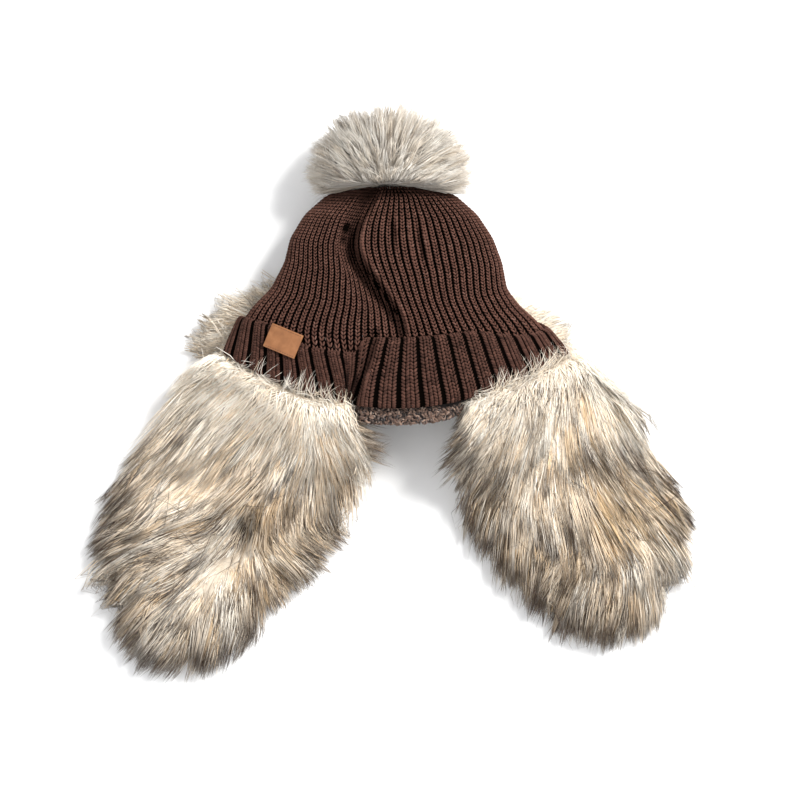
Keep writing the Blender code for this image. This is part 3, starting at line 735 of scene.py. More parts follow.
def cuff_path(rows, depth):
    """Give along, out and dip on the way round the cuff, from under its fold to inside its top edge."""
    fold = CUFF_FOLD / CAP_LENGTH
    out = CUFF_OUT - depth
    marks = np.array((
        (0.0, CUFF_IN + 0.6 * MM, 0.0), (-0.9 * fold, CUFF_IN + 1.6 * MM, 0.0),
        (-fold, CUFF_IN + 2.8 * MM, 0.0),
        (-0.5 * fold, out - 0.6 * MM, 0.0), (0.3 * fold, out, 0.0), (CUFF_SHARE * 0.5, out, 0.5),
        (CUFF_SHARE * 0.97, out, 1.0), (CUFF_SHARE + 0.35 * fold, out - 0.7 * MM, 1.0),
        (CUFF_SHARE + 0.6 * fold, CUFF_IN + 2.6 * MM, 1.0),
        (CUFF_SHARE + 0.3 * fold, CUFF_IN + 1.0 * MM, 1.0)))
    steps = np.hypot(np.diff(marks[:, 0]) * CAP_LENGTH * 1.25, np.diff(marks[:, 1]))
    reach = np.concatenate(([0.0], np.cumsum(steps)))
    places = np.linspace(0.0, reach[-1], rows)
    return [tuple(np.interp(place, reach, column) for column in marks.T) for place in places]


def cuff_ground():
    """The ribbed wall under the cuff's stitches, painted near-black as their shade: a closed band."""
    columns = 4 * WALES
    shares = np.arange(columns) / columns
    rings = [form_ring(along, out + (rib_relief(shares) - 1.0 * MM) * min(1.0, (out - CUFF_IN) / CUFF_WALL),
                       shares, dip) for along, out, dip in cuff_path(24, 0.0)]
    rings += [form_ring(along, CUFF_IN, shares, along / CUFF_SHARE)
              for along in np.linspace(CUFF_SHARE, 0.002, 4)]
    points = np.concatenate(rings)
    # Tone 0 paints the ground near-black, as the shade between the stitches.
    return points, loft_faces(len(rings) + 1, columns) % len(points), np.zeros(len(points))


def make_cuff():
    """Knit the cuff: its ground and the stitches of 44 double ribs."""
    sheet = sheet_grid(cuff_path(2 * CUFF_KNIT.courses + 1, 0.3 * MM), 8 * WALES, rib_relief)
    points, faces, tones = join_shapes(cuff_ground(), knit_legs(sheet, CUFF_KNIT))
    piece = mesh_piece("cuff_knit", points, faces, yarn, tone=tones)
    place_piece(piece, "knit", "cuff")
    return piece


cuff = make_cuff()

# %% [markdown]
# ## The boucle lining
# The lining is a band inside the rim that hangs out below the cuff at the middle of the front. Its
# yarn curls in small loops, so it is a closed band with some thousands of loops scattered over it,
# closest where it shows.

# %% Boucle loops
LOOP_SEGMENTS = 7
LOOP_SIDES = 3
LOOP_RADIUS = 1.8 * MM
LOOP_YARN = 0.95 * MM


def loop_shape():
    """One curled loop: a short open ring of yarn, closed at its two ends."""
    points = []
    for segment in range(LOOP_SEGMENTS):
        turn = segment / (LOOP_SEGMENTS - 1) * 1.65 * math.pi
        centre = np.array((math.cos(turn), math.sin(turn), 0.30 * segment / LOOP_SEGMENTS)) * LOOP_RADIUS
        outward = np.array((math.cos(turn), math.sin(turn), 0.0))
        for side in range(LOOP_SIDES):
            angle = 2.0 * math.pi * side / LOOP_SIDES
            upward = np.array((0, 0, math.sin(angle)))
            points.append(centre + LOOP_YARN * (outward * math.cos(angle) + upward))
    faces = loft_faces(LOOP_SEGMENTS, LOOP_SIDES)
    last = (LOOP_SEGMENTS - 1) * LOOP_SIDES
    ends = np.array(((0, 2, 1), (last, last + 1, last + 2)))
    return np.array(points), np.concatenate((faces[:, ::-1], ends))


def random_turns(draw, count):
    """Give evenly spread random rotations."""
    basis = unit(draw.normal(size=(count, 3)))
    other = draw.normal(size=(count, 3))
    other = unit(other - (other * basis).sum(-1, keepdims=True) * basis)
    return np.stack((basis, other, np.cross(basis, other)), axis=1)


def scatter_loops(places, normals, draw, size=1.0):
    """Set a loop at each place, turned at random, sunk a little in the surface."""
    shape, faces = loop_shape()
    turns = random_turns(draw, len(places))
    sizes = (size * draw.uniform(0.75, 1.25, len(places)))[:, None, None]
    points = np.einsum("pk,ckj->cpj", shape, turns) * sizes + (places + normals * 0.2 * MM)[:, None, :]
    points, triangles = repeat_shape(points, faces)
    tones = np.repeat(np.clip(draw.normal(0.55, 0.25, len(places)), 0.1, 1.0), len(shape))
    return points, triangles, tones


# %% Lining
LINING_COLUMNS = 176
LINING_LOOPS = 1100


def lining_edge(ring, share_down):
    """Lower a ring of the rim towards the lining's edge, deepest at the middle of the front."""
    x, y, z = ring.T
    mound = LINING_DROP * LINING_MOUND
    share = smooth((x - LINING_FROM_X) / mound) * smooth((LINING_TO_X - x) / mound)
    _, _, _, floor, top = profile(0.0)
    share = np.where(z > (top + floor) / 2.0, share, 0.0)
    drop = LINING_EDGE + (LINING_DROP - LINING_EDGE) * share
    return np.stack((x, y - drop * share_down, z - 3.0 * MM * share * share_down ** 2), axis=-1)


def lining_rings():
    """Give the rings of the lining: up its outer side from the edge, over, and down its inner side."""
    shares = np.arange(LINING_COLUMNS) / LINING_COLUMNS
    middle = (LINING_OUT + LINING_IN) / 2.0
    rings = [lining_edge(form_ring(0.0, out, shares), down)
             for out, down in ((LINING_IN + 0.7 * MM, 0.97), (middle, 1.0), (LINING_OUT - 0.6 * MM, 0.97),
                               (LINING_OUT, 0.8), (LINING_OUT, 0.4))]
    rings += [form_ring(along, LINING_OUT, shares) for along in (0.0, 0.1, CUFF_SHARE)]
    rings += [form_ring(CUFF_SHARE + 0.01, middle, shares)]
    rings += [form_ring(along, LINING_IN, shares) for along in (CUFF_SHARE, 0.1, 0.0)]
    rings += [lining_edge(form_ring(0.0, LINING_IN, shares), down) for down in (0.4, 0.8)]
    return rings


def make_lining():
    """The boucle band with its loops."""
    draw = np.random.default_rng(12)
    rings = lining_rings()
    count = len(rings)
    points = np.concatenate(rings)
    faces = loft_faces(count + 1, LINING_COLUMNS) % (count * LINING_COLUMNS)
    ground = (points, faces, np.zeros(len(points)))
    corners = points[faces]
    crossed = np.cross(corners[:, 1] - corners[:, 0], corners[:, 2] - corners[:, 0])
    size = np.linalg.norm(crossed, axis=1)
    centres = corners.mean(axis=1)
    shown = (np.abs(centres[:, 0] - 0.010) < 0.065) & (centres[:, 1] < RIM_SIDE_Y - RIM_SAG)
    weight = size * np.where(shown, 30.0, 1.0) * (centres[:, 1] < RIM_SIDE_Y + 0.03)
    chosen = draw.choice(len(faces), LINING_LOOPS, p=weight / weight.sum())
    mix = draw.dirichlet((1.0, 1.0, 1.0), LINING_LOOPS)
    places = (corners[chosen] * mix[:, :, None]).sum(axis=1)
    loops = scatter_loops(places, unit(crossed[chosen]), draw)
    points, faces, tones = join_shapes(ground, loops)
    piece = mesh_piece("boucle_lining", points, faces, boucle, tone=tones)
    place_piece(piece, "boucle", "lining")
    return piece


lining = make_lining()

# %% [markdown]
# ## The fur's under-body
# Fur can't be a shell with a picture of hair: its outline is hair. Below the hair lies the pile's dense
# part. It starts as a copy of the frame's solid, which a voxel remesh and a smooth turn into one soft
# skin. The skin is then drawn in, most at the edges that the hair will overhang.

# %% Under-body from a node
def soft_copy(node, name, voxel, smoothing):
    """Copy a node's solid, merge it, remesh it to an even skin and smooth it."""
    deselect_all()
    piece = frame["nodes"][node].copy()
    piece.data = frame["nodes"][node].data.copy()
    piece.parent = None
    piece.name = name
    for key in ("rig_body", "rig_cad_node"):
        del piece[key]
    bpy.context.scene.collection.objects.link(piece)
    piece.select_set(True)
    bpy.context.view_layer.objects.active = piece
    bpy.ops.object.mode_set(mode="EDIT")
    bpy.ops.mesh.select_all(action="SELECT")
    bpy.ops.mesh.remove_doubles(threshold=0.01 * MM)
    bpy.ops.object.mode_set(mode="OBJECT")
    remesh = piece.modifiers.new("even_skin", "REMESH")
    remesh.mode = "VOXEL"
    remesh.voxel_size = voxel
    bpy.ops.object.modifier_apply(modifier=remesh.name)
    smooth = piece.modifiers.new("soften", "SMOOTH")
    smooth.factor = 0.5
    smooth.iterations = smoothing
    bpy.ops.object.modifier_apply(modifier=smooth.name)
    return piece


def arrays_of(piece):
    """Take a piece's points, normals and triangles as arrays, and remove the piece."""
    mesh = piece.data
    mesh.calc_loop_triangles()
    points, normals = np.zeros((2, 3 * len(mesh.vertices)), np.float32)
    mesh.vertices.foreach_get("co", points)
    mesh.vertices.foreach_get("normal", normals)
    faces = np.zeros(3 * len(mesh.loop_triangles), np.int32)
    mesh.loop_triangles.foreach_get("vertices", faces)
    bpy.data.objects.remove(piece)
    return points.reshape(-1, 3).astype(float), normals.reshape(-1, 3).astype(float), faces.reshape(-1, 3)


def rim_distance(places):
    """Give how far each place lies below the cuff's folded edge, in the plan."""
    across = np.clip(np.abs(places[:, 0]) / (RIM_HALF_WIDTH + CUFF_OUT), 0.0, 1.0)
    return RIM_SIDE_Y - RIM_SAG * (1.0 - across ** 2) - CUFF_FOLD - places[:, 1]


def node_faces(*nodes):
    """Gather the triangles of frame nodes, as obstacles that hair has to pass over."""
    points, faces, start = [], [], 0
    for node in nodes:
        mesh = frame["nodes"][node].data
        points += [vertex.co[:] for vertex in mesh.vertices]
        faces += [[start + corner for corner in polygon.vertices] for polygon in mesh.polygons]
        start = len(points)
    return points, faces


def make_tree(points, faces, *obstacles):
    """Build a search tree of a skin and of the nodes beside it."""
    more_points, more_faces = node_faces(*obstacles)
    start = len(points)
    faces = [list(face) for face in faces] + [[start + corner for corner in face] for face in more_faces]
    return BVHTree.FromPolygons(list(map(tuple, points)) + more_points, faces)


# %% [markdown]
# ## Growing hair
# A hair is a closed three-sided spindle on four marks, from its root to its tip. Its root is a random
# place on the skin. At each mark it asks the comb which way the fur lies there, so hairs flow like the
# real pile. Hairs of one lock lean towards the hair in its middle, so that their tips gather. A place
# inside the skin is lifted out, and loose hair settles on what lies below. No hair stands far out of the
# frame's solid: it is made shorter instead. Hairs that would bridge the tuck are shortened too.

# %% Growing hair
HAIR_MARKS = np.array((0.0, 0.33, 0.68, 1.0))
HAIR_GIRTH = (0.7, 1.0, 0.75)
DOWN = Vector((0.0, 0.0, -1.0))
HAIR_TRIANGLES = np.concatenate((loft_faces(3, 3), cap_faces(6, 3, 9, False), np.array(((0, 2, 1),))))
WILD_SHARE = 0.05
Coat = namedtuple("Coat", "seed hairs locks tufts length girth lift clump stray layer proud")
Groom = namedtuple("Groom", "comb ruffle density tint loose cling blocked")
FREE = 1.0
ROOT_DEPTH = 6.0 * MM
BLOCK = 2000
HAIR_LOW = np.array(cad_box[0]) - np.array((22.0, 22.0, 1.0)) * MM
HAIR_HIGH = np.array(cad_box[1]) + np.array((22.0, 22.0, 11.0)) * MM


def nearest_number(places, centres):
    """Give the number of the nearest centre for each place."""
    best = np.zeros(len(places), int)
    for start in range(0, len(places), BLOCK):
        away = places[start:start + BLOCK, None, :] - centres[None, :, :]
        best[start:start + BLOCK] = (away ** 2).sum(axis=-1).argmin(axis=1)
    return best


def hair_roots(points, faces, coat, draw, density):
    """Scatter roots over the skin by area and density, and none on what looks down."""
    corners = points[faces]
    crossed = np.cross(corners[:, 1] - corners[:, 0], corners[:, 2] - corners[:, 0])
    normals = unit(crossed)
    weight = np.linalg.norm(crossed, axis=1) * (normals[:, 2] > -0.7)
    weight = weight * density(corners.mean(axis=1))
    chosen = draw.choice(len(faces), coat.hairs, p=weight / weight.sum())
    mix = draw.dirichlet((1.0, 1.0, 1.0), coat.hairs)
    return (corners[chosen] * mix[:, :, None]).sum(axis=1), normals[chosen]


def step_outside(places, tree, clear, loose):
    """Lift places to their clearance over what lies nearest, let loose ones sink, and give the normals."""
    lifted, normals = places.copy(), np.zeros_like(places)
    for number, place in enumerate(places):
        spot = Vector(place)
        near, normal, _, away = tree.find_nearest(spot)
        if away < clear[number] or (spot - near).dot(normal) < -0.6 * away:
            lifted[number] = near + normal * clear[number]
        elif loose < FREE:
            below = tree.ray_cast(spot, DOWN)[0]
            if below is not None:
                lifted[number, 2] = min(spot.z, below.z + clear[number] + loose)
        normals[number] = normal
    lifted[:, 2] = np.maximum(lifted[:, 2], 0.6 * MM)
    return lifted, normals


def proud_of(places, tree):
    """Give how far places stand out of a solid; inside it the value is below zero."""
    proud = np.zeros(len(places))
    for number, place in enumerate(places):
        spot = Vector(place)
        near, normal, _, away = tree.find_nearest(spot)
        proud[number] = away if (spot - near).dot(normal) > -0.6 * away else -away
    return proud


def turned(headings, normals, angles):
    """Turn headings about normals by angles."""
    cosine, sine = np.cos(angles)[:, None], np.sin(angles)[:, None]
    return headings * cosine + np.cross(normals, headings) * sine


def flow(roots, normals, lengths, angles, lifts, clear, groom, tree):
    """Lead each hair from its root along the comb, mark by mark."""
    place = roots - normals * 1.0 * MM
    spine = [place]
    for number in range(1, len(HAIR_MARKS)):
        heading = turned(groom.comb(place), normals, angles)
        away = (heading * normals).sum(-1, keepdims=True)
        flat = heading - np.where(away > 0.0, groom.cling, 1.0) * away * normals
        rise = (lifts * (1.0 - 1.3 * HAIR_MARKS[number]))[:, None]
        heading = unit(0.6 * flat + 0.4 * heading + normals * rise)
        step = (lengths * (HAIR_MARKS[number] - HAIR_MARKS[number - 1]))[:, None]
        place, normals = step_outside(place + heading * step, tree, clear * HAIR_MARKS[number] + 0.3 * MM,
                                      groom.loose)
        spine.append(place)
    return np.stack(spine, axis=1)


def grow_hair(points, faces, tree, solid, coat, groom):
    """Grow a coat: give its spines, the number of each hair's lock, and which hairs are stray."""
    draw = np.random.default_rng(coat.seed)
    roots, normals = hair_roots(points, faces, coat, draw, groom.density)
    lock = nearest_number(roots, roots[:coat.locks])
    tuft = nearest_number(roots, roots[:coat.tufts])
    wild = draw.random(coat.hairs) < WILD_SHARE
    ruffled = groom.ruffle(roots)
    angles = (draw.normal(0.0, coat.stray, coat.tufts)[tuft] + draw.normal(0.0, coat.stray, coat.locks)[lock]
              + draw.normal(0.0, 0.03, coat.hairs) + ruffled * draw.normal(0.0, 0.4, coat.hairs)
              + wild * draw.normal(0.0, 0.5, coat.hairs))
    lifts = (coat.lift * draw.uniform(0.4, 1.6, coat.tufts)[tuft] + 0.5 * ruffled
             + 0.25 * wild * draw.random(coat.hairs))
    lengths = (coat.length * draw.uniform(0.75, 1.15, coat.tufts)[tuft] * draw.uniform(0.8, 1.1, coat.hairs)
               * (1.0 - 0.3 * ruffled))
    clear = coat.layer * (0.7 * draw.random(coat.tufts)[tuft] + 0.3 * draw.random(coat.locks)[lock])
    limit = coat.proud * draw.uniform(0.2, 1.0, coat.hairs) + 4.0 * MM * wild
    spine = flow(roots, normals, lengths, angles, lifts, clear, groom, tree)
    for _ in range(3):
        over = np.maximum(proud_of(spine[:, -1], solid) - limit, 0.0)
        blocked = groom.blocked(spine)
        lengths = np.maximum((lengths - 1.15 * over) * np.where(blocked, 0.68, 1.0), 0.25 * coat.length)
        again = (over > 0.0) | blocked
        spine[again] = flow(roots[again], normals[again], lengths[again], angles[again], lifts[again],
                            clear[again], groom, tree)
    for _ in range(3):
        reach = proud_of(spine[:, -1], solid) + ROOT_DEPTH
        short = np.clip((limit + ROOT_DEPTH) / np.maximum(reach, 1.0 * MM), 0.15, 1.0)
        spine = spine[:, :1] + (spine - spine[:, :1]) * short[:, None, None]
    gather = coat.clump * draw.uniform(0.6, 1.1, coat.hairs) * np.where(wild, 0.1, 1.0)
    for mark in (1, 2, 3):
        pull = (gather * HAIR_MARKS[mark] ** 1.5)[:, None]
        spine[:, mark] = spine[:, mark] * (1.0 - pull) + spine[:coat.locks][lock][:, mark] * pull
    far = ((spine < HAIR_LOW) | (spine > HAIR_HIGH)).any(axis=(1, 2))
    spine[far] = spine[far][:, :1] + (spine[far] - spine[far][:, :1]) * 0.6
    return spine, lock, wild, draw


def hair_mesh(spine, girth):
    """Wrap each spine in a closed three-sided hair, and give its points, triangles and along."""
    count = len(spine)
    heading = unit(spine[:, -1] - spine[:, 0])
    sideways = unit(np.cross(heading, (0.0, 0.0, 1.0)) + 1e-4)
    outward = np.cross(sideways, heading)
    corners = []
    for mark, share in enumerate(HAIR_GIRTH):
        for angle in (0.5 * math.pi, 7.0 / 6.0 * math.pi, 11.0 / 6.0 * math.pi):
            offset = sideways * math.cos(angle) + outward * math.sin(angle)
            corners.append(spine[:, mark] + offset * (girth * share / 2.0)[:, None])
    corners.append(spine[:, 3])
    points, faces = repeat_shape(np.stack(corners, axis=1), HAIR_TRIANGLES)
    return points, faces, np.tile(np.repeat(HAIR_MARKS, (3, 3, 3, 1)), count)


def dress_in_fur(piece_name, node, skin, material, slot, coat, groom, obstacles=(), with_skin=True):
    """Dress a node in fur: its soft skin and its hair, in one mesh."""
    points, faces, shadow = skin
    tree = make_tree(points, faces, *obstacles)
    solid = BVHTree.FromPolygons(*node_faces(node))
    spine, lock, wild, draw = grow_hair(points, faces, tree, solid, coat, groom)
    warm, dark, shade = groom.tint(spine, lock, wild, draw, coat)
    # Tone is the painted shade from the tint, with a random lightness for each lock and each hair.
    tone = shade + draw.normal(0.0, 0.16, coat.locks)[lock] + draw.normal(0.0, 0.10, coat.hairs)
    girth = coat.girth * draw.uniform(0.65, 1.3, coat.hairs) * np.where(wild, 0.6, 1.0)
    hair_points, hair_faces, along = hair_mesh(spine, girth)
    along = along + 0.3 * np.repeat(wild, 10)
    shapes = [(hair_points, hair_faces, along, np.repeat(warm, 10), np.repeat(dark, 10), np.repeat(tone, 10))]
    if with_skin:
        still = np.zeros(len(points))
        # The skin's painted shadow in the tuck raises its along and its dark value, so there it takes the
        # dark tip colour.
        shapes.append((points, faces, 0.1 + 0.9 * shadow, still + 0.4, shadow, still + 0.1))
    points, faces, along, warm, dark, tone = join_shapes(*shapes)
    piece = mesh_piece(piece_name, points, faces, material, along=along, warm=warm, dark=dark, tone=tone)
    place_piece(piece, slot, node)
    return piece


# %% [markdown]
# ## How the fur lies
# A groomer combs fur with guide hairs, and so does this table: at a few places of each flap it says
# which way the pile points, in degrees from the right, how warm its colour is and how dark its tips
# are. The same darkness also darkens the hair half way along, as painted shade. On the left flap the
# fur fans out from the rim, meets a tuck, and swirls out of it again.

# %% Guide hairs of the flaps
Guide = namedtuple("Guide", "x y heading warm dark")
LEFT_GUIDES = (
    Guide(-176, -58, 205, 0.10, 0.00), Guide(-196, -94, 226, 0.15, 0.05),
    Guide(-113, -76, 222, 0.05, 0.05), Guide(-148, -104, 226, 0.15, 0.10),
    Guide(-187, -133, 228, 0.30, 0.25), Guide(-236, -153, 222, 0.35, 0.40),
    Guide(-74, -99, 262, 0.05, 0.05), Guide(-50, -117, 285, 0.20, 0.10),
    Guide(-27, -112, 318, 0.15, 0.60), Guide(-99, -135, 242, 0.15, 0.10),
    Guide(-79, -173, 264, 0.15, 0.10), Guide(-50, -171, 280, 0.35, 0.20),
    Guide(-128, -157, 234, 0.30, 0.15), Guide(-167, -173, 225, 0.45, 0.30),
    Guide(-221, -183, 226, 0.45, 0.35), Guide(-261, -198, 222, 0.40, 0.75),
    Guide(-131, -186, 238, 0.85, 0.55), Guide(-97, -200, 262, 0.65, 0.60),
    Guide(-185, -200, 203, 0.55, 0.50), Guide(-236, -221, 198, 0.40, 0.55),
    Guide(-163, -221, 198, 0.20, 0.80), Guide(-194, -251, 215, 0.25, 0.80),
    Guide(-248, -261, 225, 0.50, 0.85), Guide(-212, -293, 232, 0.35, 0.80),
    Guide(-172, -270, 248, 0.20, 0.85), Guide(-145, -258, 266, 0.65, 0.65),
    Guide(-172, -301, 256, 0.30, 0.75), Guide(-121, -223, 318, 0.75, 0.35),
    Guide(-95, -220, 338, 0.60, 0.70), Guide(-100, -252, 300, 0.45, 0.70),
    Guide(-66, -222, 325, 0.45, 0.55), Guide(-141, -234, 256, 0.40, 0.85),
)
RIGHT_GUIDES = (
    Guide(59, -92, 215, 0.20, 0.15), Guide(50, -128, 208, 0.20, 0.90),
    Guide(79, -99, 240, 0.15, 0.45), Guide(69, -133, 245, 0.30, 0.30),
    Guide(89, -153, 240, 0.35, 0.25), Guide(112, -124, 255, 0.20, 0.35),
    Guide(138, -99, 268, 0.20, 0.55), Guide(128, -153, 265, 0.35, 0.20),
    Guide(170, -94, 282, 0.20, 0.55), Guide(196, -68, 335, 0.10, 0.15),
    Guide(186, -124, 300, 0.40, 0.15), Guide(216, -124, 302, 0.15, 0.20),
    Guide(157, -173, 282, 0.30, 0.15), Guide(196, -173, 302, 0.60, 0.60),
    Guide(229, -163, 316, 0.50, 0.55), Guide(248, -185, 318, 0.60, 0.85),
    Guide(79, -193, 250, 0.50, 0.80), Guide(109, -202, 265, 0.35, 0.20),
    Guide(148, -202, 275, 0.35, 0.20), Guide(206, -211, 296, 0.95, 0.60),
    Guide(254, -216, 306, 0.45, 0.55), Guide(89, -231, 258, 0.55, 0.95),
    Guide(119, -251, 268, 0.60, 0.75), Guide(157, -253, 240, 0.55, 0.70),
    Guide(186, -270, 262, 0.55, 0.60), Guide(226, -256, 275, 0.30, 0.35),
    Guide(256, -252, 290, 0.20, 0.35), Guide(138, -280, 248, 0.50, 0.90),
    Guide(167, -297, 262, 0.40, 0.80),
)
GUIDE_REACH = 0.020


def read_guides(places, guides):
    """Blend the guides by nearness, and give plan directions, warmth and darkness."""
    spots = np.array([(guide.x, guide.y) for guide in guides]) * MM
    angles = np.radians([guide.heading for guide in guides])
    values = np.stack((np.cos(angles), np.sin(angles), [guide.warm for guide in guides],
                       [guide.dark for guide in guides]), axis=1)
    away = ((places[:, None, :2] - spots[None]) ** 2).sum(axis=-1)
    weight = np.exp(-(away - away.min(axis=1, keepdims=True)) / GUIDE_REACH ** 2)
    blend = weight @ values / weight.sum(axis=1, keepdims=True)
    directions = unit(np.concatenate((blend[:, :2], np.zeros((len(places), 1))), axis=1))
    return directions, blend[:, 2], blend[:, 3]


def rim_ruffle(places):
    """Give 1 at the cuff's edge, falling to 0 a finger's width below it."""
    return np.exp(-((np.maximum(rim_distance(places), 0.0) / 0.011) ** 2))


def no_ruffle(places):
    """Fur that no edge ruffles."""
    return np.zeros(len(places))


def rim_density(places):
    """Grow hair everywhere, densest below the cuff's edge and thin in the tuck."""
    near_rim = np.exp(-((np.maximum(rim_distance(places), 0.0) / 0.035) ** 2))
    return (1.0 + 1.5 * near_rim) * (1.0 - 0.7 * smooth(tuck_depth(places) / 0.032 - 0.5))


def rim_band(places):
    """Grow hair only in a narrow band below the cuff's edge."""
    return np.exp(-(((rim_distance(places) - 2.0 * MM) / (4.0 * MM)) ** 2))


def far_edge(places):
    """Grow hair only at the flap's low edge, far from the cuff."""
    return smooth((rim_distance(places) - 0.09) / 0.05) * smooth((0.022 - places[:, 2]) / 0.010)


def guided_tint(guides, painted_brightness):
    """Colour hair by the guides near it: warmth half way along, darkness at the tip, and painted shade in its
    tone.
    """
    def tint(spine, lock, wild, draw, coat):
        _, warm, shaft_shade = read_guides(spine[:, 2], guides)
        _, _, dark = read_guides(spine[:, 3], guides)
        shift = draw.normal(0.0, 0.22, coat.locks)[lock]
        warm = np.clip(warm + shift + draw.normal(0.0, 0.08, coat.hairs), 0.0, 1.0)
        chance = draw.random(coat.locks)[lock]
        strength = np.clip((1.2 * dark - chance) * 4.0, 0.0, 1.0) * draw.uniform(0.6, 1.0, coat.hairs)
        # Painted shade: the flap's painted level, darkened where the guides are dark half way along and in
        # the tuck.
        shade = painted_brightness - 0.55 * shaft_shade - tuck_depth(spine[:, 1]) / 0.020
        return warm, np.clip(strength + wild * dark, 0.0, 1.0), shade
    return tint


def dark_tint(spine, lock, wild, draw, coat):
    """Warm locks with dark ends."""
    warm = np.clip(draw.normal(0.4, 0.2, coat.locks), 0.0, 1.0)[lock]
    return warm, draw.uniform(0.5, 1.0, coat.locks)[lock], 0.35


def pale_tint(spine, lock, wild, draw, coat):
    """Mostly pale hair, some warm locks, and a few dark tips."""
    warm = np.clip(draw.uniform(0.0, 0.55, coat.locks)[lock] + draw.normal(0.0, 0.12, coat.hairs), 0.0, 1.0)
    dark_lock = (draw.random(coat.locks) < 0.12) * draw.uniform(0.3, 0.8, coat.locks)
    return warm, np.clip(dark_lock[lock] + wild * 0.4, 0.0, 1.0), 0.5


# %% The flaps' skins, with the tuck in the left one
FLAP_SEAMS = {"left": (-0.092, -0.070), "right": (0.112, -0.064)}
TuckMark = namedtuple("TuckMark", "x y depth width")
LEFT_TUCK = (TuckMark(-139, -207, 34, 12), TuckMark(-150, -221, 24, 11), TuckMark(-170, -241, 15, 11),
             TuckMark(-196, -262, 7, 14))
PIT_RADIUS = 10.0 * MM
PILE_LEAST = 0.010


def tuck_depth(places):
    """Give how deep the left flap is tucked in at each place."""
    depth = np.zeros(len(places))
    for first, second in zip(LEFT_TUCK, LEFT_TUCK[1:]):
        start = np.array((first.x, first.y)) * MM
        run = np.array((second.x, second.y)) * MM - start
        share = np.clip((places[:, :2] - start) @ run / run.dot(run), 0.0, 1.0)
        away = np.linalg.norm(places[:, :2] - start - share[:, None] * run, axis=1)
        width = (first.width + (second.width - first.width) * share) * MM
        deep = (first.depth + (second.depth - first.depth) * share) * MM
        depth = np.maximum(depth, deep * np.exp(-((away / width) ** 2)))
    return depth


def over_pit(spine):
    """Tell which hairs pass over the deepest place of the tuck."""
    pit = np.array((LEFT_TUCK[0].x, LEFT_TUCK[0].y)) * MM
    passes = [spine[:, mark, :2] * (1.0 - part) + spine[:, mark + 1, :2] * part
              for mark in range(3) for part in (0.35, 0.7, 1.0)]
    nearest = np.min([np.linalg.norm(place - pit, axis=1) for place in passes], axis=0)
    return (nearest < PIT_RADIUS) & (np.linalg.norm(spine[:, 0, :2] - pit, axis=1) > PIT_RADIUS)


def none_blocked(spine):
    """Let every hair lie as it falls."""
    return np.zeros(len(spine), bool)


def flap_skin(side):
    """The flap's dense pile: drawn in a little, so that hair makes its outline."""
    node = side + "_flap_fur"
    points, normals, faces = arrays_of(soft_copy(node, node + "_skin", 0.005, 5))
    away = np.clip(rim_distance(points) / 0.030, 0.0, 1.0)[:, None]
    points = points - normals * 4.0 * MM * away
    seam = np.array((*FLAP_SEAMS[side], 0.0))
    points = seam + (points - seam) * np.array((0.975, 0.955, 1.0))
    shadow = np.zeros(len(points))
    if side == "left":
        # Painted shadow: the skin is darkened in the tuck.
        shadow = smooth(tuck_depth(points) / 0.026)
        points[:, 2] = np.maximum(points[:, 2] - tuck_depth(points), np.minimum(points[:, 2], PILE_LEAST))
    return points, faces, shadow


# %% The two flaps' fur
under_coat = Coat(41, 5600, 800, 120, 0.062, 0.95 * MM, 0.08, 0.60, 0.06, 3.0 * MM, 12.0 * MM)
guard_coat = Coat(42, 5400, 680, 100, 0.080, 0.75 * MM, 0.12, 0.72, 0.08, 7.0 * MM, 18.0 * MM)
rim_coat = Coat(43, 2000, 500, 110, 0.042, 0.42 * MM, 0.95, 0.35, 0.50, 2.0 * MM, 26.0 * MM)
edge_coat = Coat(44, 800, 90, 90, 0.056, 0.75 * MM, 0.05, 0.90, 0.12, 2.0 * MM, 18.0 * MM)
corner_coat = Coat(45, 360, 60, 20, 0.050, 0.55 * MM, 0.10, 0.70, 0.22, 3.0 * MM, 34.0 * MM)
stray_coat = Coat(47, 480, 480, 120, 0.050, 0.36 * MM, 0.16, 0.10, 0.45, 6.0 * MM, 18.0 * MM)
LOOSE = 3.0 * MM
CLING = 0.25
INNER_CORNERS = {"left": (-0.034, -0.122), "right": (0.060, -0.124)}
CORNER_HEADINGS = {"left": -0.30, "right": 3.75}
CORNER_REACH = 0.012


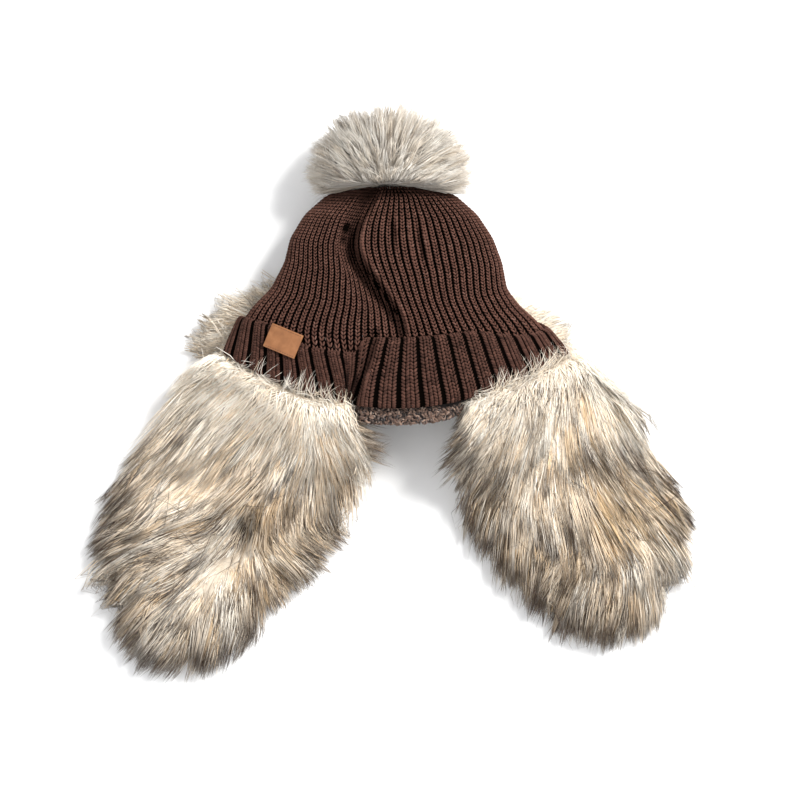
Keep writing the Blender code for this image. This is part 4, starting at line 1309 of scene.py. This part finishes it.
def make_flap_fur(side, guides, painted_brightness, shift):
    """The coats of one flap: dense pile, guard hair, wisps over the cuff, and locks at its edges."""
    node = side + "_flap_fur"
    skin = flap_skin(side)
    corner = np.array(INNER_CORNERS[side])
    heading = np.array((math.cos(CORNER_HEADINGS[side]), math.sin(CORNER_HEADINGS[side]), 0.0))

    def comb(places):
        return read_guides(places, guides)[0]

    def comb_back(places):
        return -read_guides(places, guides)[0]

    def comb_inwards(places):
        return np.tile(heading, (len(places), 1))

    def near_corner(places):
        return np.exp(-(((places[:, :2] - corner) ** 2).sum(axis=1) / CORNER_REACH ** 2))

    def near_dark(places):
        return read_guides(places, guides)[2] ** 1.5

    blocked = over_pit if side == "left" else none_blocked
    groomed = Groom(comb, rim_ruffle, rim_density, guided_tint(guides, painted_brightness), LOOSE, CLING, blocked)
    coats = (
        ("under_coat", under_coat, groomed),
        ("guard_hair", guard_coat, groomed),
        ("rim_wisps", rim_coat, Groom(comb_back, rim_ruffle, rim_band, pale_tint, FREE, CLING, none_blocked)),
        ("edge_locks", edge_coat, Groom(comb, rim_ruffle, far_edge, dark_tint, LOOSE, CLING, none_blocked)),
        ("corner_tuft", corner_coat,
         Groom(comb_inwards, no_ruffle, near_corner, dark_tint, LOOSE, CLING, none_blocked)),
        ("stray_hair", stray_coat, Groom(comb, no_ruffle, near_dark, dark_tint, LOOSE, CLING, none_blocked)))
    for name, coat, groom in coats:
        dress_in_fur("%s_flap_%s" % (side, name), node, skin, flap_pile, "flap_fur",
                     coat._replace(seed=coat.seed + shift), groom, ("cuff", "lining"), name == "under_coat")


# Each flap's painted lightness: the right flap, which faces the key light, is painted darker as shade.
make_flap_fur("left", LEFT_GUIDES, 0.94, 0)
make_flap_fur("right", RIGHT_GUIDES, 0.68, 10)

# %% [markdown]
# ## The nape fur and the pompom
# The band behind the neck is the same pile, squeezed under the rim, so its hair points outwards. The
# pompom's hair starts where it is sewn on and sweeps over the ball to all sides.

# %% Nape fur and pompom
NAPE_MIDDLE = np.array((0.0, -0.080, 0.0))
POMPOM_BASE = np.array((-0.010, 0.101, 0.045))


def even_density(places):
    """Grow hair everywhere alike."""
    return np.ones(len(places))


def nape_density(places):
    """More hair where the band stands out beside the cap."""
    return 0.08 + smooth((np.abs(places[:, 0]) - 0.085) / 0.03)


def nape_ruffle(places):
    """Ruffle the band's ends."""
    return 0.4 * smooth((np.abs(places[:, 0]) - 0.085) / 0.03)


def nape_comb(places):
    """Comb the nape's band outwards from under the rim."""
    return unit((places - NAPE_MIDDLE) * np.array((1.0, 1.0, 0.0)))


def pompom_comb(places):
    """Sweep the pompom's hair over the ball, away from where it is sewn on."""
    return unit(places - POMPOM_BASE)


def drawn_skin(node, voxel, smoothing, centre, share):
    """A node's dense pile, drawn in evenly and then towards a centre."""
    points, normals, faces = arrays_of(soft_copy(node, node + "_skin", voxel, smoothing))
    points = points - normals * 1.0 * MM - centre
    return centre + points * share(points), faces, np.zeros(len(points))


def nape_share(points):
    """Draw the band's right end in more: there the cap covers nearly all of it."""
    return np.where(points[:, :1] > 0.0, 0.91, 0.98)


def pompom_share(points):
    """Draw the ball in all round, so that its hair makes the outline."""
    return np.array((0.78, 0.74, 0.82))


nape_skin = drawn_skin("nape_fur", 0.004, 2, NAPE_MIDDLE, nape_share)
pompom_skin = drawn_skin("pompom", 0.005, 8, POMPOM_BASE, pompom_share)
nape_coat = Coat(45, 3000, 420, 90, 0.056, 0.75 * MM, 0.40, 0.5, 0.18, 3.0 * MM, 18.0 * MM)
pompom_coat = Coat(46, 6800, 900, 120, 0.066, 0.58 * MM, 0.10, 0.50, 0.13, 7.0 * MM, 10.0 * MM)
dress_in_fur("nape_pile", "nape_fur", nape_skin, flap_pile, "flap_fur", nape_coat,
             Groom(nape_comb, nape_ruffle, nape_density, pale_tint, FREE, CLING, none_blocked))
dress_in_fur("pompom_pile", "pompom", pompom_skin, pompom_pile, "pompom_fur", pompom_coat,
             Groom(pompom_comb, no_ruffle, even_density, pale_tint, FREE, 1.0, none_blocked), ("crown",))

# %% [markdown]
# ## The flaps' boucle side
# The flaps are lined with the same boucle. It lies on the floor and shows only from below and at the
# edges, so it is the frame's panel with an even skin, crumpled by a fine relief.

# %% Flap linings
def make_flap_lining(side):
    """The boucle panel under one flap."""
    node = side + "_flap_lining"
    points, _, faces = arrays_of(soft_copy(node, node + "_skin", 0.0032, 1))
    draw = np.random.default_rng(60 + len(side))
    points[:, 2] = np.maximum(points[:, 2] + draw.normal(0.0, 0.25 * MM, len(points)), 0.1 * MM)
    tones = np.clip(draw.normal(0.5, 0.2, len(points)), 0.0, 1.0)
    piece = mesh_piece(side + "_boucle_panel", points, faces, boucle, tone=tones)
    place_piece(piece, "boucle", node)
    return piece


for side in ("left", "right"):
    make_flap_lining(side)

# %% [markdown]
# ## The leather tab
# The tab is a bare piece of coated leather, stitched down along its top and bottom edges. It is modelled
# as by hand: a plane, cut into squares, dropped on the cuff, given its thickness and a rounded edge. The
# thread is a row of small spindles along each seam.

# %% Leather tab
LABEL_CENTRE = Vector((-0.099, -0.038, 0.0))
LABEL_SIZE = (0.030, 0.022)
LABEL_TURN = math.radians(-22.7)
LABEL_THICKNESS = 1.3 * MM
STITCHES = 12
THREAD_GIRTH = 0.5 * MM
_, label_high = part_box("label")
label_tree = BVHTree.FromPolygons([vertex.co[:] for vertex in frame["nodes"]["label"].data.vertices],
                                  [polygon.vertices[:] for polygon in frame["nodes"]["label"].data.polygons])


def drop_on_label(x, y):
    """Drop a point on the frame's tab from above."""
    hit = label_tree.ray_cast(Vector((x, y, 1.0)), Vector((0.0, 0.0, -1.0)))[0]
    if hit is None:
        hit = label_tree.find_nearest(Vector((x, y, label_high.z)))[0]
    return hit.z


def make_label():
    """Cut the tab, drop it on the cuff, thicken it and round its edges."""
    deselect_all()
    bpy.ops.mesh.primitive_plane_add(size=1.0, location=LABEL_CENTRE)
    piece = bpy.context.object
    piece.name = "leather_tab"
    bpy.ops.object.mode_set(mode="EDIT")
    bpy.ops.mesh.subdivide(number_cuts=11)
    bpy.ops.transform.resize(value=(*LABEL_SIZE, 1.0))
    bpy.ops.object.mode_set(mode="OBJECT")
    piece.rotation_euler = (0.0, 0.0, LABEL_TURN)
    bpy.ops.object.transform_apply(location=True, rotation=True, scale=True)
    for vertex in piece.data.vertices:
        vertex.co.z = drop_on_label(vertex.co.x, vertex.co.y) - LABEL_THICKNESS
    thick = piece.modifiers.new("thickness", "SOLIDIFY")
    thick.thickness = LABEL_THICKNESS
    thick.offset = 1.0
    bpy.ops.object.modifier_apply(modifier=thick.name)
    edge = piece.modifiers.new("worn_edge", "BEVEL")
    edge.width = 0.35 * MM
    edge.segments = 3
    edge.limit_method = "ANGLE"
    bpy.ops.object.modifier_apply(modifier=edge.name)
    bpy.ops.object.shade_smooth_by_angle(angle=math.radians(35.0))
    piece.data.materials.append(leather)
    place_piece(piece, "label", "label")
    return piece


def on_tab(across, down):
    """Give a place on the tab, from shares of its half size, with its height."""
    flat = Vector((across * LABEL_SIZE[0], down * LABEL_SIZE[1], 0.0))
    x, y, _ = LABEL_CENTRE + Matrix.Rotation(LABEL_TURN, 3, "Z") @ flat / 2.0
    return np.array((x, y, drop_on_label(x, y)))


def make_stitches():
    """Sew the tab along its top and bottom edges with rows of small spindles."""
    corners = []
    for down in (0.86, -0.86):
        for number in range(STITCHES):
            start, end = [on_tab(-0.92 + 1.84 * (number + part) / STITCHES, down) for part in (0.15, 0.85)]
            aside, up = np.array((0.0, THREAD_GIRTH / 2.0, 0.0)), np.array((0.0, 0.0, THREAD_GIRTH / 2.0))
            rows = [start]
            for middle in (start * 0.7 + end * 0.3 + up, start * 0.3 + end * 0.7 + up):
                rows += [middle + aside, middle + up, middle - aside, middle - up]
            corners.append(np.array(rows + [end]))
    points, faces = repeat_shape(np.array(corners), LEG_TRIANGLES)
    piece = mesh_piece("tab_stitches", points, faces, thread)
    place_piece(piece, "label", "label")
    return piece


tab = make_label()
stitches = make_stitches()

# %% [markdown]
# ## Floor and light
# The photo's light is a broad soft box high on the right, with white walls all round. A pale floor
# under the cap takes a faint shadow.

# %% Floor and light
FLOOR_SIZE = 8.0


def add_softbox(name, place, size, power):
    """Add a square soft light that looks at the cap."""
    bpy.ops.object.light_add(type="AREA", location=place)
    light = bpy.context.object
    light.name = name
    light.data.size = size
    light.data.energy = power
    aim = Vector((0.0, -0.08, 0.0)) - Vector(place)
    light.rotation_euler = aim.to_track_quat("-Z", "Y").to_euler()
    return light


bpy.ops.mesh.primitive_plane_add(size=FLOOR_SIZE, location=(0.0, 0.0, 0.0))
floor = bpy.context.object
floor.name = "floor"
floor.data.materials.append(paper)
key_light = add_softbox("key_softbox", (1.2, 0.9, 1.6), 0.6, 80.0)
fill_light = add_softbox("fill_softbox", (-1.2, -0.6, 2.1), 1.8, 10.0)
world = bpy.data.worlds.new("studio_walls")
bpy.context.scene.world = world
world.use_nodes = True
world.node_tree.nodes["Background"].inputs["Color"].default_value = linear("#F4F6FA")
world.node_tree.nodes["Background"].inputs["Strength"].default_value = 0.85
bpy.context.scene.view_settings.view_transform = "Standard"
print("lights:", key_light.name, fill_light.name)
